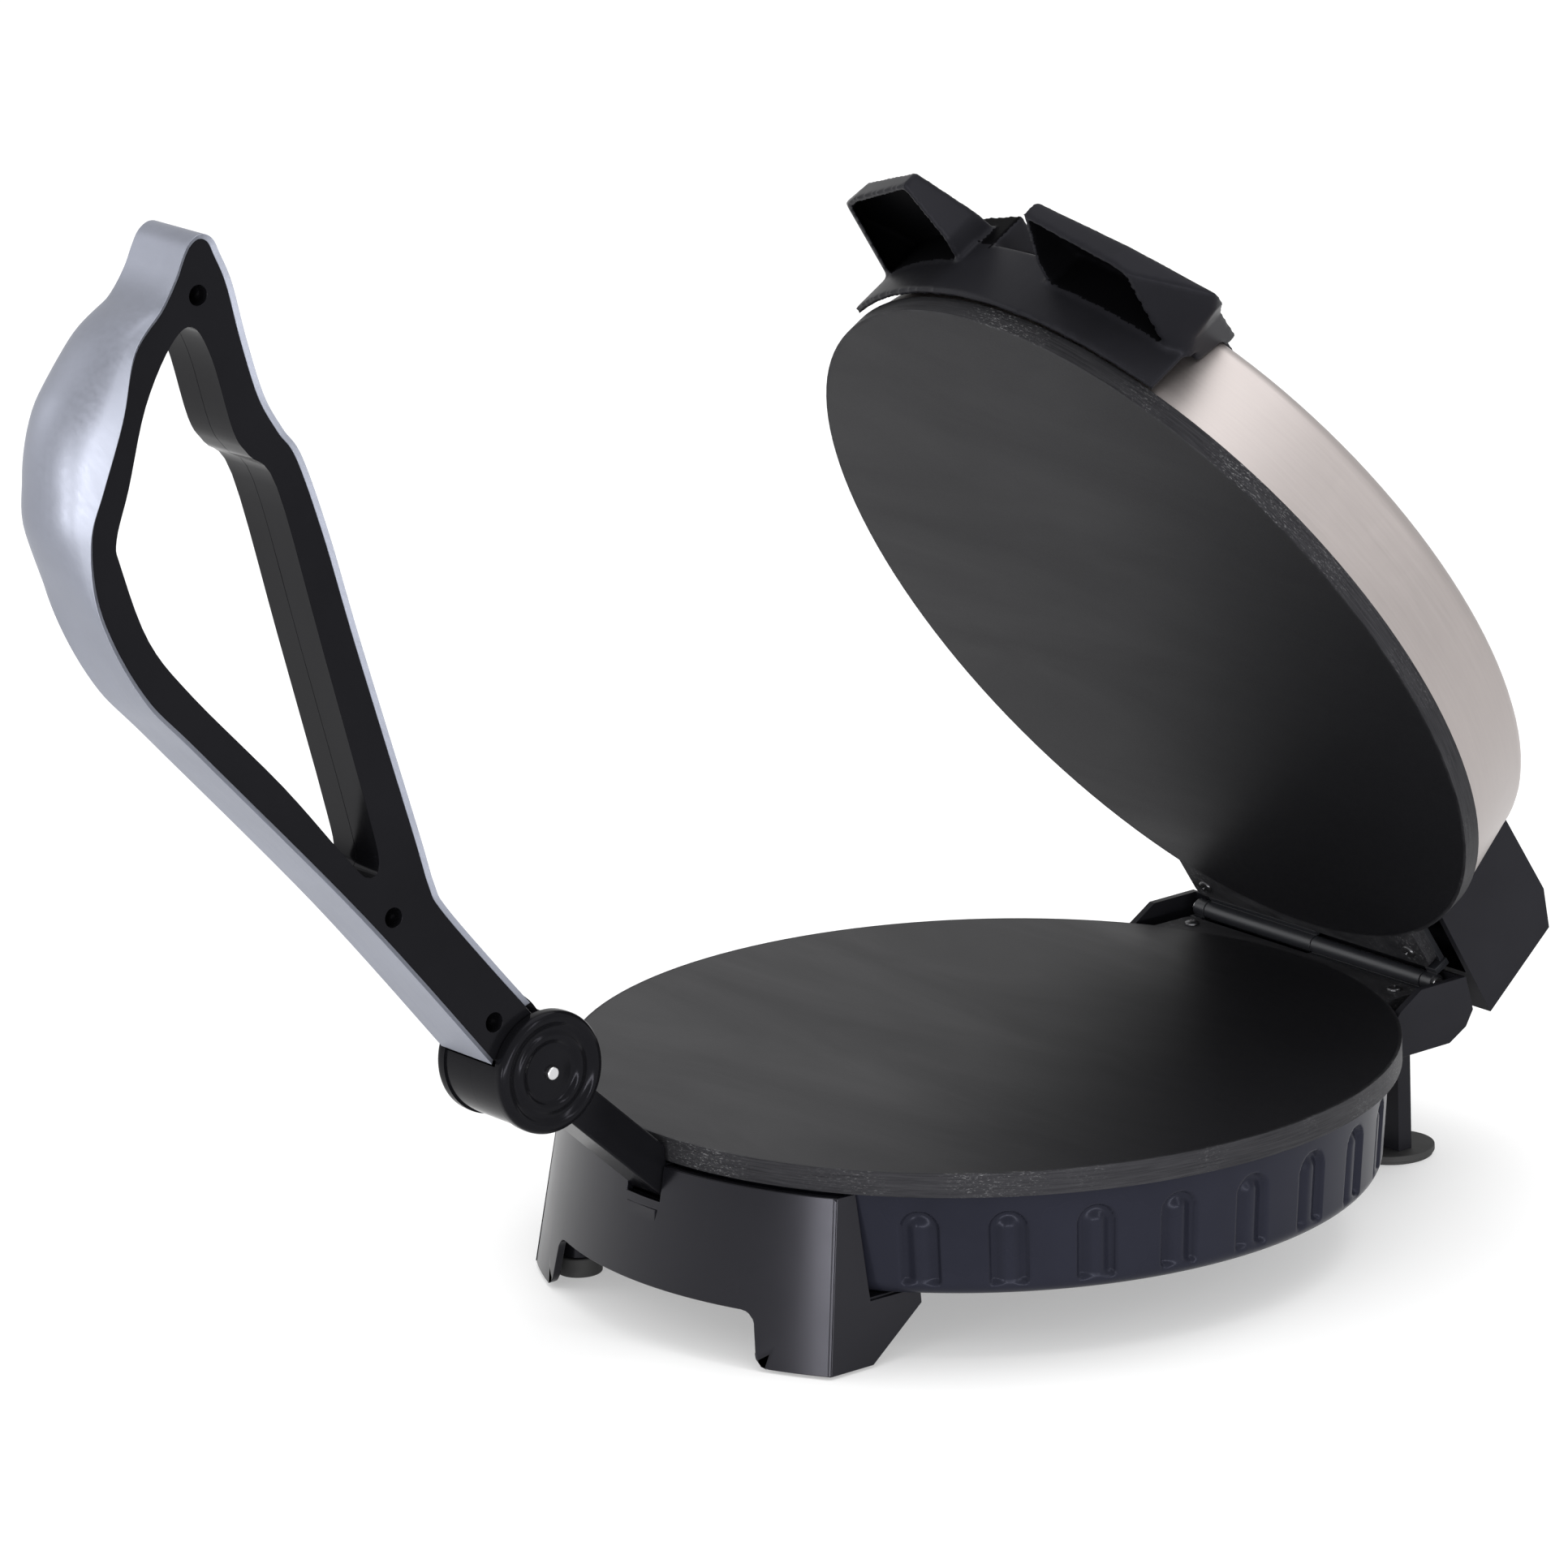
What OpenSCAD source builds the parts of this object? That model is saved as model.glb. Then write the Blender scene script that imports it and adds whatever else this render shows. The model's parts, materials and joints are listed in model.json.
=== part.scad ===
// Flatbread maker: a hinged lid over a round hot plate, with a press handle
// that leans forward on its own strut.
// All sizes in millimetres. X is to the right, Y to the hinge at the back, Z up.

/* [Cooking plates] */
// Radius of both cooking plates
plate_r = 127; // [120:1:134]
// Thickness of each plate's floor
plate_t = 4; // [3.5:0.25:5]
// Width of the ring round the back of each plate
rim_w = 5; // [4:0.5:6]
// Depth of the lower plate's edge
rim_h = 7.5; // [7:0.5:9]
// Depth of the upper plate's edge
lid_rim_h = 6.1; // [6:0.1:7]
// Height of the lower cooking face above the table
face_z = 61.5; // [59:0.5:66]
// Gap between the cooking faces with the lid closed
closed_gap = 3; // [2.8:0.1:3.6]
// Half width of the straight tongue at the hinge
tongue_x = 55; // [52:1:57]

/* [Base] */
// Height of the steel pan under the plate
pan_h = 33; // [31:0.5:34]
// Thickness of the pan's side wall
pan_t = 2.4; // [2:0.1:2.6]
// Lean of the pan's side wall in degrees
pan_lean = 4.8; // [3:0.1:6]
// Number of grooves on each side of the pan
flutes = 11; // [6:1:11]
// Width of one groove
flute_w = 10.9; // [8:0.1:12]
// Depth of one groove
flute_d = 1.3; // [0.8:0.1:1.5]
// Half angle of the front stand in degrees
stand_angle = 31.3; // [30:0.1:33]
// Thickness of the front stand's walls
stand_t = 2.5; // [2.2:0.1:3]
// Half width between the front stand's feet
arch_x = 43; // [38:1:44]
// Distance of each rear foot from the middle
rear_foot_x = 27; // [22:1:34]

/* [Hinge] */
// Distance of the hinge pin behind the plate edge
hinge_back = 7.2; // [7:0.1:7.6]
// Radius of the hinge pin
pin_r = 1.5; // [1.3:0.1:1.7]
// Radius of the hinge barrels
barrel_r = 2.9; // [2.8:0.05:3]
// Clearance round every pin that turns
run_gap = 0.06; // [0.04:0.01:0.09]
// Angle of the lid above the closed position
lid_open = 58.9; // [50:0.5:60]

/* [Lid] */
// Height of the steel cover above the upper plate's edge
cover_h = 31.4; // [29:0.2:34]
// Thickness of the cover's sheet
cover_t = 0.8; // [0.6:0.1:1.2]
// Half width of the saddle between the two front wings
saddle_x = 12.5; // [12:0.5:14]
// Reach of the wings in front of the plate edge
wing_reach = 30.5; // [26:0.5:32]

/* [Press handle] */
// Distance of the knuckle in front of the plate edge
knuckle_out = 47.3; // [46.5:0.1:52]
// Height of the knuckle above the lower cooking face
knuckle_up = 32.7; // [31:0.1:34]
// Radius of the knuckle barrel
knuckle_r = 18.6; // [18:0.1:19]
// Length of the knuckle barrel
knuckle_w = 33; // [32:0.5:36]
// Width of the handle from side to side
handle_w = 23; // [22:0.5:23.5]
// Width of the strut that carries the knuckle
strut_w = 15; // [14:0.5:15.5]
// Thickness of the steel band round the handle
strip_t = 1.6; // [1.4:0.1:2]
// Height of the palm swell's crown above the knuckle
swell_z = 214; // [206:1:220]
// Depth of the palm swell
swell_h = 14; // [8:0.5:16]

/* [Hidden] */
$fn = 96;
hinge_y = plate_r + hinge_back;
hinge_z = face_z + closed_gap / 2;
tongue_y = hinge_y - barrel_r - 1.8;
lid_z = face_z + closed_gap;
rim_z = face_z - rim_h;
plate_under = face_z - plate_t;
plate_over = lid_z + plate_t;
cover_z = lid_z + lid_rim_h;
cover_top = cover_z + cover_h;
cover_r = plate_r - 0.7;
cover_lean = 11.6;
cover_corner = 6;
leaf_t = 2;
pan_r = plate_r - 4;
pan_z = rim_z - pan_h;
pan_floor = 2;
element_r = 75;
element_tube = 3.6;
post_r = 5;
post_xy = (element_r + element_tube + post_r + 4.1) / sqrt(2);
screw_r = 1.97;
screw_hole = 2;
screw_free = 2.3;
reflector_t = 0.8;
low_reflector_z = plate_under - 12.3;
top_reflector_z = plate_over + 11.5;
lid_screw_x = 40;
lid_screw_y = plate_r - 29;
stand_top = rim_z - 0.8;
stand_slope = 10.44;
stand_z = 1;
foot_x = 58;
foot_y = 14 - plate_r;
housing_x = 64.5;
housing_t = 2.5;
axle_r = 2;
knuckle_y = -plate_r - knuckle_out;
knuckle_z = face_z + knuckle_up;
strut_dir = -43.1;
strut_half = 6.2;
tongue_disc = 12;
shell_in = tongue_disc + 2.6;
cap_t = (knuckle_w - handle_w) / 2 - 0.7;
terminal_y = plate_r - 35;

plate_black = [0.16, 0.16, 0.17];
steel = [0.75, 0.75, 0.77];
plastic = [0.2, 0.2, 0.22];
rubber = [0.08, 0.08, 0.08];
brass = [0.75, 0.62, 0.35];

// Places and helpers

module in_base() {
    translate([0, plate_y, 0]) children();
}

module in_lid() {
    translate([0, plate_y + hinge_y, hinge_z])
        rotate([-lid_open, 0, 0])
            translate([0, -hinge_y, -hinge_z]) children();
}

module at_knuckle() {
    translate([0, plate_y + knuckle_y, knuckle_z]) children();
}

// Pulls a flat (y, z) outline through x
module slab(x0, x1) {
    translate([x0, 0, 0]) rotate([90, 0, 90]) linear_extrude(x1 - x0) children();
}

module bar_x(x0, x1, r) {
    translate([x0, 0, 0]) rotate([0, 90, 0]) cylinder(h = x1 - x0, r = r);
}

module bar_y(y0, y1, r) {
    translate([0, y0, 0]) rotate([-90, 0, 0]) cylinder(h = y1 - y0, r = r);
}

module rod(a, b, r) {
    v = b - a;
    translate(a) rotate([0, acos(v.z / norm(v)), atan2(v.y, v.x)]) cylinder(h = norm(v), r = r);
}

module wire(points, r) {
    for (i = [0 : len(points) - 2]) rod(points[i], points[i + 1], r);
    for (i = [1 : len(points) - 2]) translate(points[i]) sphere(1.3 * r, $fn = 32);
}

module both_sides() {
    children();
    mirror([1, 0, 0]) children();
}

// Smooth curve through a list of points
function blend(a, b, c, d, t) = 0.5 * (2 * b + (c - a) * t
    + (2 * a - 5 * b + 4 * c - d) * t * t + (3 * b - a - 3 * c + d) * t * t * t);
function curve(p, n) = [for (i = [0 : len(p) - 2]) for (k = [0 : n - 1])
    blend(p[max(i - 1, 0)], p[i], p[i + 1], p[min(i + 2, len(p) - 1)], k / n), p[len(p) - 1]];
function ring(p, n) = [for (i = [0 : len(p) - 1]) for (k = [0 : n - 1])
    blend(p[(i + len(p) - 1) % len(p)], p[i], p[(i + 1) % len(p)], p[(i + 2) % len(p)], k / n)];
function beside_by(p, d) = [for (i = [0 : len(p) - 1])
    let (v = p[min(i + 1, len(p) - 1)] - p[max(i - 1, 0)]) p[i] + d[i] * [-v.y, v.x] / norm(v)];
function shrink(p, d) = [for (i = [0 : len(p) - 1])
    let (a = p[i] - p[(i + len(p) - 1) % len(p)], b = p[(i + 1) % len(p)] - p[i],
        m = [-a.y, a.x] / norm(a), n = [-b.y, b.x] / norm(b)) p[i] + d * (m + n) / (1 + m * n)];
function arc(c, r, a0, a1, n) = [for (k = [0 : n]) let (a = a0 + (a1 - a0) * k / n)
    c + r * [cos(a), sin(a)]];
function flip(p) = [for (i = [len(p) - 1 : -1 : 0]) [-p[i].x, p[i].y]];
function back(p) = [for (i = [len(p) - 1 : -1 : 0]) p[i]];

// The press handle's edges, as seen from its right side, from the knuckle's middle
handle_back = [[-17.7, 7], [-61, 60], [-114, 119], [-132.5, 140], [-145, 165], [-148, 187],
    [-144, 201], [-136, 221.5], [-130, 238], [-120, 248], [-114, 256], [-110, 266]];
handle_front = [[-102, 264], [-98, 252], [-94, 235], [-89, 218], [-83, 207], [-77, 198],
    [-69, 174], [-60, 141], [-43, 82], [-38, 64], [-34, 56], [-19, 37], [-2.5, 17]];
window_edge = [[-117.5, 238], [-127, 222], [-134, 200], [-139, 186], [-138, 178], [-130, 155],
    [-116, 136], [-87, 104], [-66, 78], [-59, 71], [-55, 74], [-58, 90], [-71, 141], [-84, 191],
    [-93, 202], [-98, 210], [-104, 232], [-110, 242]];
handle_screw_at = [[-107.6, 250.7], [-50.8, 57.3], [-16.8, 18.2]];
back_edge = curve(handle_back, 4);
rim_edge = concat(back_edge, [[-106.5, 268.5]], curve(handle_front, 4));

// How far the palm swell has risen at a height, from 0 to 1
function swell(z) = let (s = (z - swell_z) / (z > swell_z ? 37 : 43)) abs(s) < 1 ? (1 + cos(180 * s)) / 2 : 0;
function crown(z) = strip_t + (swell_h + 3.1) * swell(z);

// Middle of the cooking plates, so that the whole machine is centred
handle_reach = max([for (p = beside_by(back_edge, [for (q = back_edge) crown(q.y)])) -p.x]);
plate_y = (handle_reach - knuckle_y - hinge_y - 10.4 * cos(lid_open)
    - (cover_top + 0.6 - hinge_z) * sin(lid_open)) / 2;

// Widths of the tapering shells at a height
function pan_at(z) = pan_r - (rim_z - z) * tan(pan_lean);
function stand_at(z) = plate_r + 2.5 + (stand_top - z) * tan(stand_slope);
function cover_at(z) = cover_r - (z - cover_z) * tan(cover_lean);

// Both plates share one outline, with the tongue that the hinge screws to
module plate_floor(z0, z1) {
    translate([0, 0, z0]) cylinder(h = z1 - z0, r = plate_r, $fn = 180);
    translate([-tongue_x, 0, z0]) cube([2 * tongue_x, tongue_y - 3, z1 - z0]);
    translate([3 - tongue_x, 0, z0]) cube([2 * tongue_x - 6, tongue_y, z1 - z0]);
    both_sides() translate([tongue_x - 3, tongue_y - 3, z0]) cylinder(h = z1 - z0, r = 3);
}

module plate_ring(z0, z1) {
    difference() {
        translate([0, 0, z0]) cylinder(h = z1 - z0, r = plate_r, $fn = 180);
        translate([0, 0, z0 - 1]) cylinder(h = z1 - z0 + 2, r = plate_r - rim_w, $fn = 180);
        translate([-tongue_x - 1, 60, z0 - 1]) cube([2 * tongue_x + 2, 100, z1 - z0 + 2]);
    }
}

module hinge_screw_holes(z0, z1) {
    both_sides() translate([tongue_x - 7, tongue_y - 5.5, z0]) cylinder(h = z1 - z0, r = pin_r + 0.1);
}

module lower_plate() color(plate_black) in_base() difference() {
    union() {
        plate_floor(plate_under, face_z);
        plate_ring(rim_z, plate_under);
        for (x = [-1, 1], y = [-1, 1])
            translate([x * post_xy, y * post_xy, low_reflector_z + reflector_t])
                cylinder(h = plate_under - low_reflector_z - reflector_t, r = post_r);
    }
    for (x = [-1, 1], y = [-1, 1])
        translate([x * post_xy, y * post_xy, low_reflector_z])
            cylinder(h = plate_under - low_reflector_z - 2, r = screw_hole);
    hinge_screw_holes(plate_under - 1, face_z + 1);
}

// A heating tube bent into a ring, with two pins
module element(z, side) {
    half_gap = 8;
    translate([0, 0, z]) rotate([0, 0, 90 + half_gap])
        rotate_extrude(angle = 360 - 2 * half_gap) translate([element_r, 0]) circle(element_tube);
    both_sides() translate([element_r * sin(half_gap), element_r * cos(half_gap), z])
        mirror([0, 0, side > 0 ? 0 : 1]) {
            translate([0, 0, -element_tube + 0.1]) cylinder(h = 13, r = element_tube + 0.8);
            cylinder(h = 16, r = 1.6);
        }
}

module lower_element() color(steel) in_base() element(plate_under - element_tube, -1);

module reflector(z, r, posts) {
    difference() {
        translate([0, 0, z]) cylinder(h = reflector_t, r = r, $fn = 120);
        for (p = posts) translate([p.x, p.y, z - 1]) cylinder(h = 4, r = screw_free);
        both_sides() translate([element_r * sin(8), element_r * cos(8), z - 1])
            cylinder(h = 4, r = element_tube + 1.4);
        translate([0, 0, z - 1]) cylinder(h = 4, r = 9);
    }
}

module lower_reflector() color(steel) in_base()
    reflector(low_reflector_z, element_r + 23, [for (x = [-1, 1], y = [-1, 1]) post_xy * [x, y]]);

module thermostat() color(brass) in_base() {
    translate([0, 0, plate_under - 6]) cylinder(h = 5, r = 8);
    translate([-14, -4, plate_under - 1]) cube([28, 8, 1]);
    both_sides() translate([3, -2, plate_under - 14]) cube([0.8, 4, 9]);
}

module thermal_fuse() color(rubber) in_base() {
    translate([0, 30, plate_under - 2.2]) bar_x(-8, 8, 2.2);
    translate([0, 30, plate_under - 2.2]) bar_x(-14, 14, 0.8);
}

// The steel pan under the hot plate
module pan_solid(inset, z0) {
    corner = 5 - inset;
    foot_r = pan_at(pan_z) - inset;
    rotate_extrude($fn = 180) polygon(concat(
        [[0, z0]],
        arc([foot_r - corner, z0 + corner], corner, -90, 0, 6),
        [[pan_at(rim_z) - inset, rim_z], [0, rim_z]]));
}

module flute_cutter() {
    z0 = pan_z + 3.6;
    h = 23 - flute_w / 2;
    translate([pan_at(z0) - flute_d, 0, z0]) rotate([0, pan_lean, 0]) {
        translate([0, -flute_w / 2, 0]) cube([6, flute_w, h]);
        translate([0, 0, h]) bar_x(0, 6, flute_w / 2);
    }
}

module base_pan() color(steel) in_base() difference() {
    union() {
        difference() {
            pan_solid(0, pan_z);
            pan_solid(pan_t, pan_z + pan_floor);
            translate([0, 0, rim_z - 0.01]) cylinder(h = 1, r = pan_r - pan_t, $fn = 180);
        }
        for (x = [-1, 1], y = [-1, 1])
            translate([x * post_xy, y * post_xy, pan_z + 1])
                cylinder(h = low_reflector_z - pan_z - 1, r = post_r);
        both_sides() translate([45, 29 - plate_r, pan_z + 1]) cylinder(h = 5, r = 4);
    }
    for (k = [0 : flutes - 1], s = [-1, 1]) rotate([0, 0, -90 + s * (41.5 + 12.4 * k)]) flute_cutter();
    for (x = [-1, 1], y = [-1, 1])
        translate([x * post_xy, y * post_xy, pan_z - 1]) cylinder(h = 40, r = screw_free);
    both_sides() translate([45, 29 - plate_r, pan_z - 1]) cylinder(h = 9, r = 1.5);
    translate([0, 0, pan_z + 12]) bar_y(100, 140, 6);
    both_sides() rotate([0, 0, 10]) translate([0, 0, rim_z - 6]) bar_y(100, 140, 1.7);
}

module base_screws() color(steel) in_base() for (x = [-1, 1], y = [-1, 1])
    translate([x * post_xy, y * post_xy, pan_z]) {
        translate([0, 0, -2]) cylinder(h = 2, r = 3.6);
        translate([0, 0, -0.5]) cylinder(h = plate_under - pan_z - 4, r = screw_r);
    }

module terminal_block() color([0.9, 0.88, 0.82]) in_base()
    translate([0, terminal_y, pan_z + pan_floor]) difference() {
        translate([-15, -6, 0]) cube([30, 12, 12]);
        for (x = [-10, 0, 10]) translate([x, 0, 4]) cylinder(h = 10, r = 2);
    }

module base_wires() color([0.7, 0.15, 0.1]) in_base() {
    zt = pan_z + pan_floor + 6;
    zp = plate_under - element_tube - 16;
    both_sides() wire([[element_r * sin(8), element_r * cos(8), zp - 1.2],
        [10, terminal_y - 12, zp - 1.2], [10, terminal_y - 8, zt], [10, terminal_y - 6, zt]], 1.2);
    wire([[0, terminal_y - 6, zt], [0, 60, zt], [3.4, 10, zt], [3.4, 0, zt + 6],
        [3.4, 0, plate_under - 14]], 1.2);
}

module cord_gland() color(rubber) in_base() translate([0, 0, pan_z + 12]) difference() {
    union() {
        bar_y(pan_at(pan_z + 12) - pan_t - 3, pan_at(pan_z + 12) + 8, 5.9);
        bar_y(pan_at(pan_z + 12) + 0.5, pan_at(pan_z + 12) + 3.5, 8);
        bar_y(pan_at(pan_z + 12) - pan_t - 4.5, pan_at(pan_z + 12) - pan_t - 1.5, 7);
    }
    bar_y(100, 150, 3.5);
}

// The black stand in front: a conical skirt, two side walls and a tray
module front_stand() color(plastic) in_base() difference() {
    union() {
        rotate([0, 0, -90 - stand_angle]) rotate_extrude(angle = 2 * stand_angle, $fn = 180)
            polygon([[stand_at(stand_top), stand_top], [stand_at(stand_z), stand_z],
                [stand_at(stand_z) - stand_t, stand_z], [stand_at(stand_top) - stand_t, stand_top]]);
        intersection() {
            both_sides() stand_wall();
            translate([-100, -160, stand_z]) cube([200, 100, stand_top - stand_z]);
        }
        intersection() {
            translate([-stand_wall_x(20) + 1, -150, pan_z - stand_t]) cube([2 * stand_wall_x(20) - 2, 194 - plate_r, stand_t]);
            translate([0, 0, pan_z - stand_t]) cylinder(h = stand_t, r = stand_at(pan_z - stand_t) - 1, $fn = 180);
        }
        both_sides() translate([foot_x, foot_y, 6]) cylinder(h = pan_z - 7, r = 6);
        translate([-7, -stand_at(32) + 1, 24]) cube([14, stand_at(32) - 1 - plate_r - 0.4, 16]);
    }
    pan_solid(-0.4, pan_z);
    translate([0, 23.5 - plate_r, 0]) rotate([90, 0, 0]) linear_extrude(60) polygon(arch());
    translate([-strut_w / 2 - 0.5, -160, rim_z - 11.5]) cube([strut_w + 1, 160 - 124, 30]);
    both_sides() translate([45, 29 - plate_r, pan_z - 6]) cylinder(h = 9, r = 1.7);
    both_sides() translate([foot_x, foot_y, 5]) cylinder(h = 9, r = 2.5);
    for (z = [28, 36]) translate([0, 0, z]) bar_y(-plate_r - 4.2, -plate_r + 2, 1.3);
}

function stand_wall_x(z) = stand_at(z) * sin(stand_angle);
function arch() = let (side = concat(arc([arch_x, 12.2], 5, 90, 0, 5),
    arc([arch_x + 11.2, 6], 5, 180, 270, 5), [[arch_x + 11.2, -5]])) concat(flip(side), side);

module stand_wall() {
    y_top = -stand_at(stand_top) * cos(stand_angle);
    y_low = -stand_at(0) * cos(stand_angle);
    lean = atan((stand_wall_x(0) - stand_wall_x(stand_top)) / stand_top);
    translate([stand_wall_x(stand_top), 0, stand_top]) rotate([0, -lean, 0]) slab(-stand_t, 0)
        polygon([[y_top, 0], [y_low, -stand_top - 1], [y_low + 13.7, -stand_top - 1],
            [y_low + 36, 15.3 - stand_top], [y_low + 36, pan_z - 0.8 - stand_top],
            [y_low + 17.2, pan_z - 0.8 - stand_top], [y_top + 7, 0]]);
}

module stand_screws() color(steel) in_base() both_sides()
    translate([45, 29 - plate_r, pan_z - stand_t]) {
        translate([0, 0, -2]) cylinder(h = 2, r = 3);
        translate([0, 0, -0.5]) cylinder(h = 8.5, r = 1.48);
    }

module front_feet() color(rubber) in_base() both_sides() translate([foot_x, foot_y, 0]) {
    cylinder(h = 6, r = 7);
    translate([0, 0, 5.5]) cylinder(h = 7, r = 2.48);
}

// The trough round the lower hinge, on two flat legs
module rear_housing() color(plastic) in_base() difference() {
    union() {
        difference() {
            slab(-housing_x, housing_x) polygon(housing_outline());
            slab(-housing_x + housing_t, housing_x - housing_t) polygon([
                [90, rim_z - 5.5], [hinge_y - 3.4, rim_z - 5.5], [hinge_y + 2.8, rim_z - 2.1],
                [hinge_y + 4.9, rim_z + 1.2], [hinge_y + 3.4, rim_z + 12.1], [hinge_y + 3.4, rim_z + 20], [90, rim_z + 20]]);
        }
        both_sides() rotate([0, 0, 10]) translate([0, 0, rim_z - 6]) bar_y(pan_r - 6, pan_r + 7, 4);
        both_sides() translate([rear_foot_x, hinge_y, 0]) intersection() {
            slab(-12, 12) polygon([[2, 3], [7.3, 3], [7.3, rim_z + 0.7], [5.6, rim_z - 1],
                [3.6, rim_z - 3.6], [2, rim_z - 4.6]]);
            translate([0, 20, 0]) rotate([90, 0, 0]) linear_extrude(40) polygon([[-8, 0], [8, 0],
                [8, rim_z - 16], [12, rim_z - 6], [12, rim_z + 5], [-12, rim_z + 5], [-12, rim_z - 6], [-8, rim_z - 16]]);
        }
    }
    pan_solid(0, pan_z);
    translate([0, 0, rim_z - 0.6]) cylinder(h = 40, r = plate_r + 0.6, $fn = 180);
    translate([-tongue_x - 0.6, 60, rim_z]) cube([2 * tongue_x + 1.2, tongue_y - 60 + 0.6, 40]);
    both_sides() rotate([0, 0, 10]) translate([0, 0, rim_z - 6]) bar_y(pan_r - 8, pan_r + 6, 1.5);
    both_sides() translate([rear_foot_x, hinge_y + 4.65, 2]) cylinder(h = 12, r = 1.5);
}

function housing_outline() = [[hinge_y - 28, rim_z - 8], [hinge_y - 28, rim_z], [hinge_y - 22, rim_z + 6.7],
    [hinge_y - 13.6, rim_z + 11.9], [hinge_y + 4.6, rim_z + 12.1], [hinge_y + 7.4, rim_z + 1],
    [hinge_y + 4.4, rim_z - 3.9], [hinge_y - 2.4, rim_z - 7.8], [hinge_y - 17, rim_z - 8]];

module housing_screws() color(steel) in_base() both_sides() rotate([0, 0, 10])
    translate([0, 0, rim_z - 6]) {
        head = pan_at(rim_z - 9) - pan_t;
        bar_y(head - 2, head - 0.1, 3);
        bar_y(head - 1, pan_r + 5, 1.48);
    }

module rear_feet() color(rubber) in_base() both_sides()
    translate([rear_foot_x, hinge_y + 5.8, 0]) {
        cylinder(h = 1, r = 13);
        translate([0, 0, 1]) cylinder(h = 2, r = 13.6);
        translate([0, -1.15, 2.5]) cylinder(h = 11, r = 1.48);
    }

// One leaf of the hinge, lying under the lower plate's tongue
module leaf(barrels) {
    translate([-tongue_x, tongue_y - 21.5, plate_under - leaf_t]) cube([2 * tongue_x, tongue_y - hinge_y + 27.5, leaf_t]);
    for (b = barrels) {
        translate([b.x, tongue_y + 0.5, plate_under - leaf_t]) cube([b.y - b.x, 2.3, hinge_z - 1.8 - plate_under + leaf_t]);
        translate([0, hinge_y, hinge_z]) bar_x(b.x, b.y, barrel_r);
    }
}

module leaf_holes() {
    translate([0, hinge_y, hinge_z]) bar_x(-80, 80, pin_r + run_gap);
    hinge_screw_holes(plate_under - 5, plate_under + 1);
}

module hinge_lower() color(plastic) in_base() difference() {
    leaf([[-tongue_x - 1, -tongue_x + 3.8], [0.2, tongue_x - 4.2]]);
    leaf_holes();
}

module hinge_pin() color(steel) in_base() translate([0, hinge_y, hinge_z]) {
    bar_x(-tongue_x - 1, tongue_x + 1, pin_r);
    bar_x(-tongue_x - 2, -tongue_x - 1, pin_r + 0.5);
    bar_x(tongue_x + 1, tongue_x + 2, pin_r + 0.5);
}

module hinge_screw_pair(z, up) {
    both_sides() translate([tongue_x - 7, tongue_y - 5.5, z]) mirror([0, 0, up]) {
        cylinder(h = 1.1, r = 2.4);
        translate([0, 0, -8]) cylinder(h = 8.1, r = pin_r);
    }
}

module hinge_screws_lower() color(steel) in_base() hinge_screw_pair(face_z, 0);

// The strut: a bar with a round tongue, bent down behind the stand's skirt
module handle_strut() color(plastic) at_knuckle() difference() {
    union() {
        bar_x(-strut_w / 2, strut_w / 2, tongue_disc);
        slab(-strut_w / 2, strut_w / 2) rotate([0, 0, strut_dir])
            translate([0, -strut_half]) square([72, 2 * strut_half]);
        translate([-strut_w / 2 + 0.1, knuckle_out - 0.4, 26 - knuckle_z]) cube([strut_w - 0.2, 3, 28]);
    }
    translate([-20, knuckle_out - 0.6, rim_z - 0.5 - knuckle_z]) cube([40, 40, 40]);
    translate([-20, knuckle_out + 2.6, -90]) cube([40, 60, 200]);
    translate([-20, knuckle_out - 60, -100]) cube([40, 59.6, 100 - knuckle_z + 42.6]);
    bar_x(-20, 20, axle_r + 0.02);
    for (z = [28, 36]) translate([0, 0, z - knuckle_z]) bar_y(knuckle_out - 3, knuckle_out + 5, 1.5);
}

module strut_screws() color(steel) in_base() for (z = [28, 36]) translate([0, 0, z]) {
    bar_y(-plate_r - 4, -plate_r + 2.7, 1.28);
    bar_y(-plate_r + 2.6, -plate_r + 4, 2.6);
}

// Half of the knuckle barrel, to the right of its seam
module knuckle_half() difference() {
    union() {
        bar_x(0, knuckle_w / 2, knuckle_r - 0.6);
        bar_x(knuckle_w / 2 - cap_t, knuckle_w / 2, knuckle_r);
    }
    for (r = [8.8, 14.6]) difference() {
        bar_x(knuckle_w / 2 - 0.7, knuckle_w / 2 + 1, r);
        bar_x(knuckle_w / 2 - 1, knuckle_w / 2 + 2, r - 1);
    }
    bar_x(-1, knuckle_w / 2 - cap_t, shell_in);
    slab(-1, knuckle_w / 2 - cap_t) polygon(concat([[0, 0]], arc([0, 0], 40, 35, 165, 6)));
    slab(-1, strut_w / 2) rotate([0, 0, strut_dir]) translate([0, -strut_half]) square([40, 2 * strut_half]);
    bar_x(-1, 40, axle_r + 0.01);
}

module knuckle_right() color(plastic) at_knuckle() knuckle_half();

module knuckle_left() color(plastic) at_knuckle() mirror([1, 0, 0]) knuckle_half();

module knuckle_axle() color(steel) at_knuckle() {
    bar_x(-knuckle_w / 2 - 0.3, knuckle_w / 2 + 0.3, axle_r);
}

module handle_side() difference() {
    union() {
        slab(0, handle_w / 2) difference() {
            polygon(concat([[-11.1, 4.5]], rim_edge, [[-1.7, 11.9], [-6, 8]]));
            polygon(ring(window_edge, 3));
        }
        bar_x(0, handle_w / 2, tongue_disc);
    }
    bar_x(-1, strut_w / 2 + 0.3, tongue_disc + 0.5);
    bar_x(-1, 40, axle_r + run_gap);
}

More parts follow.
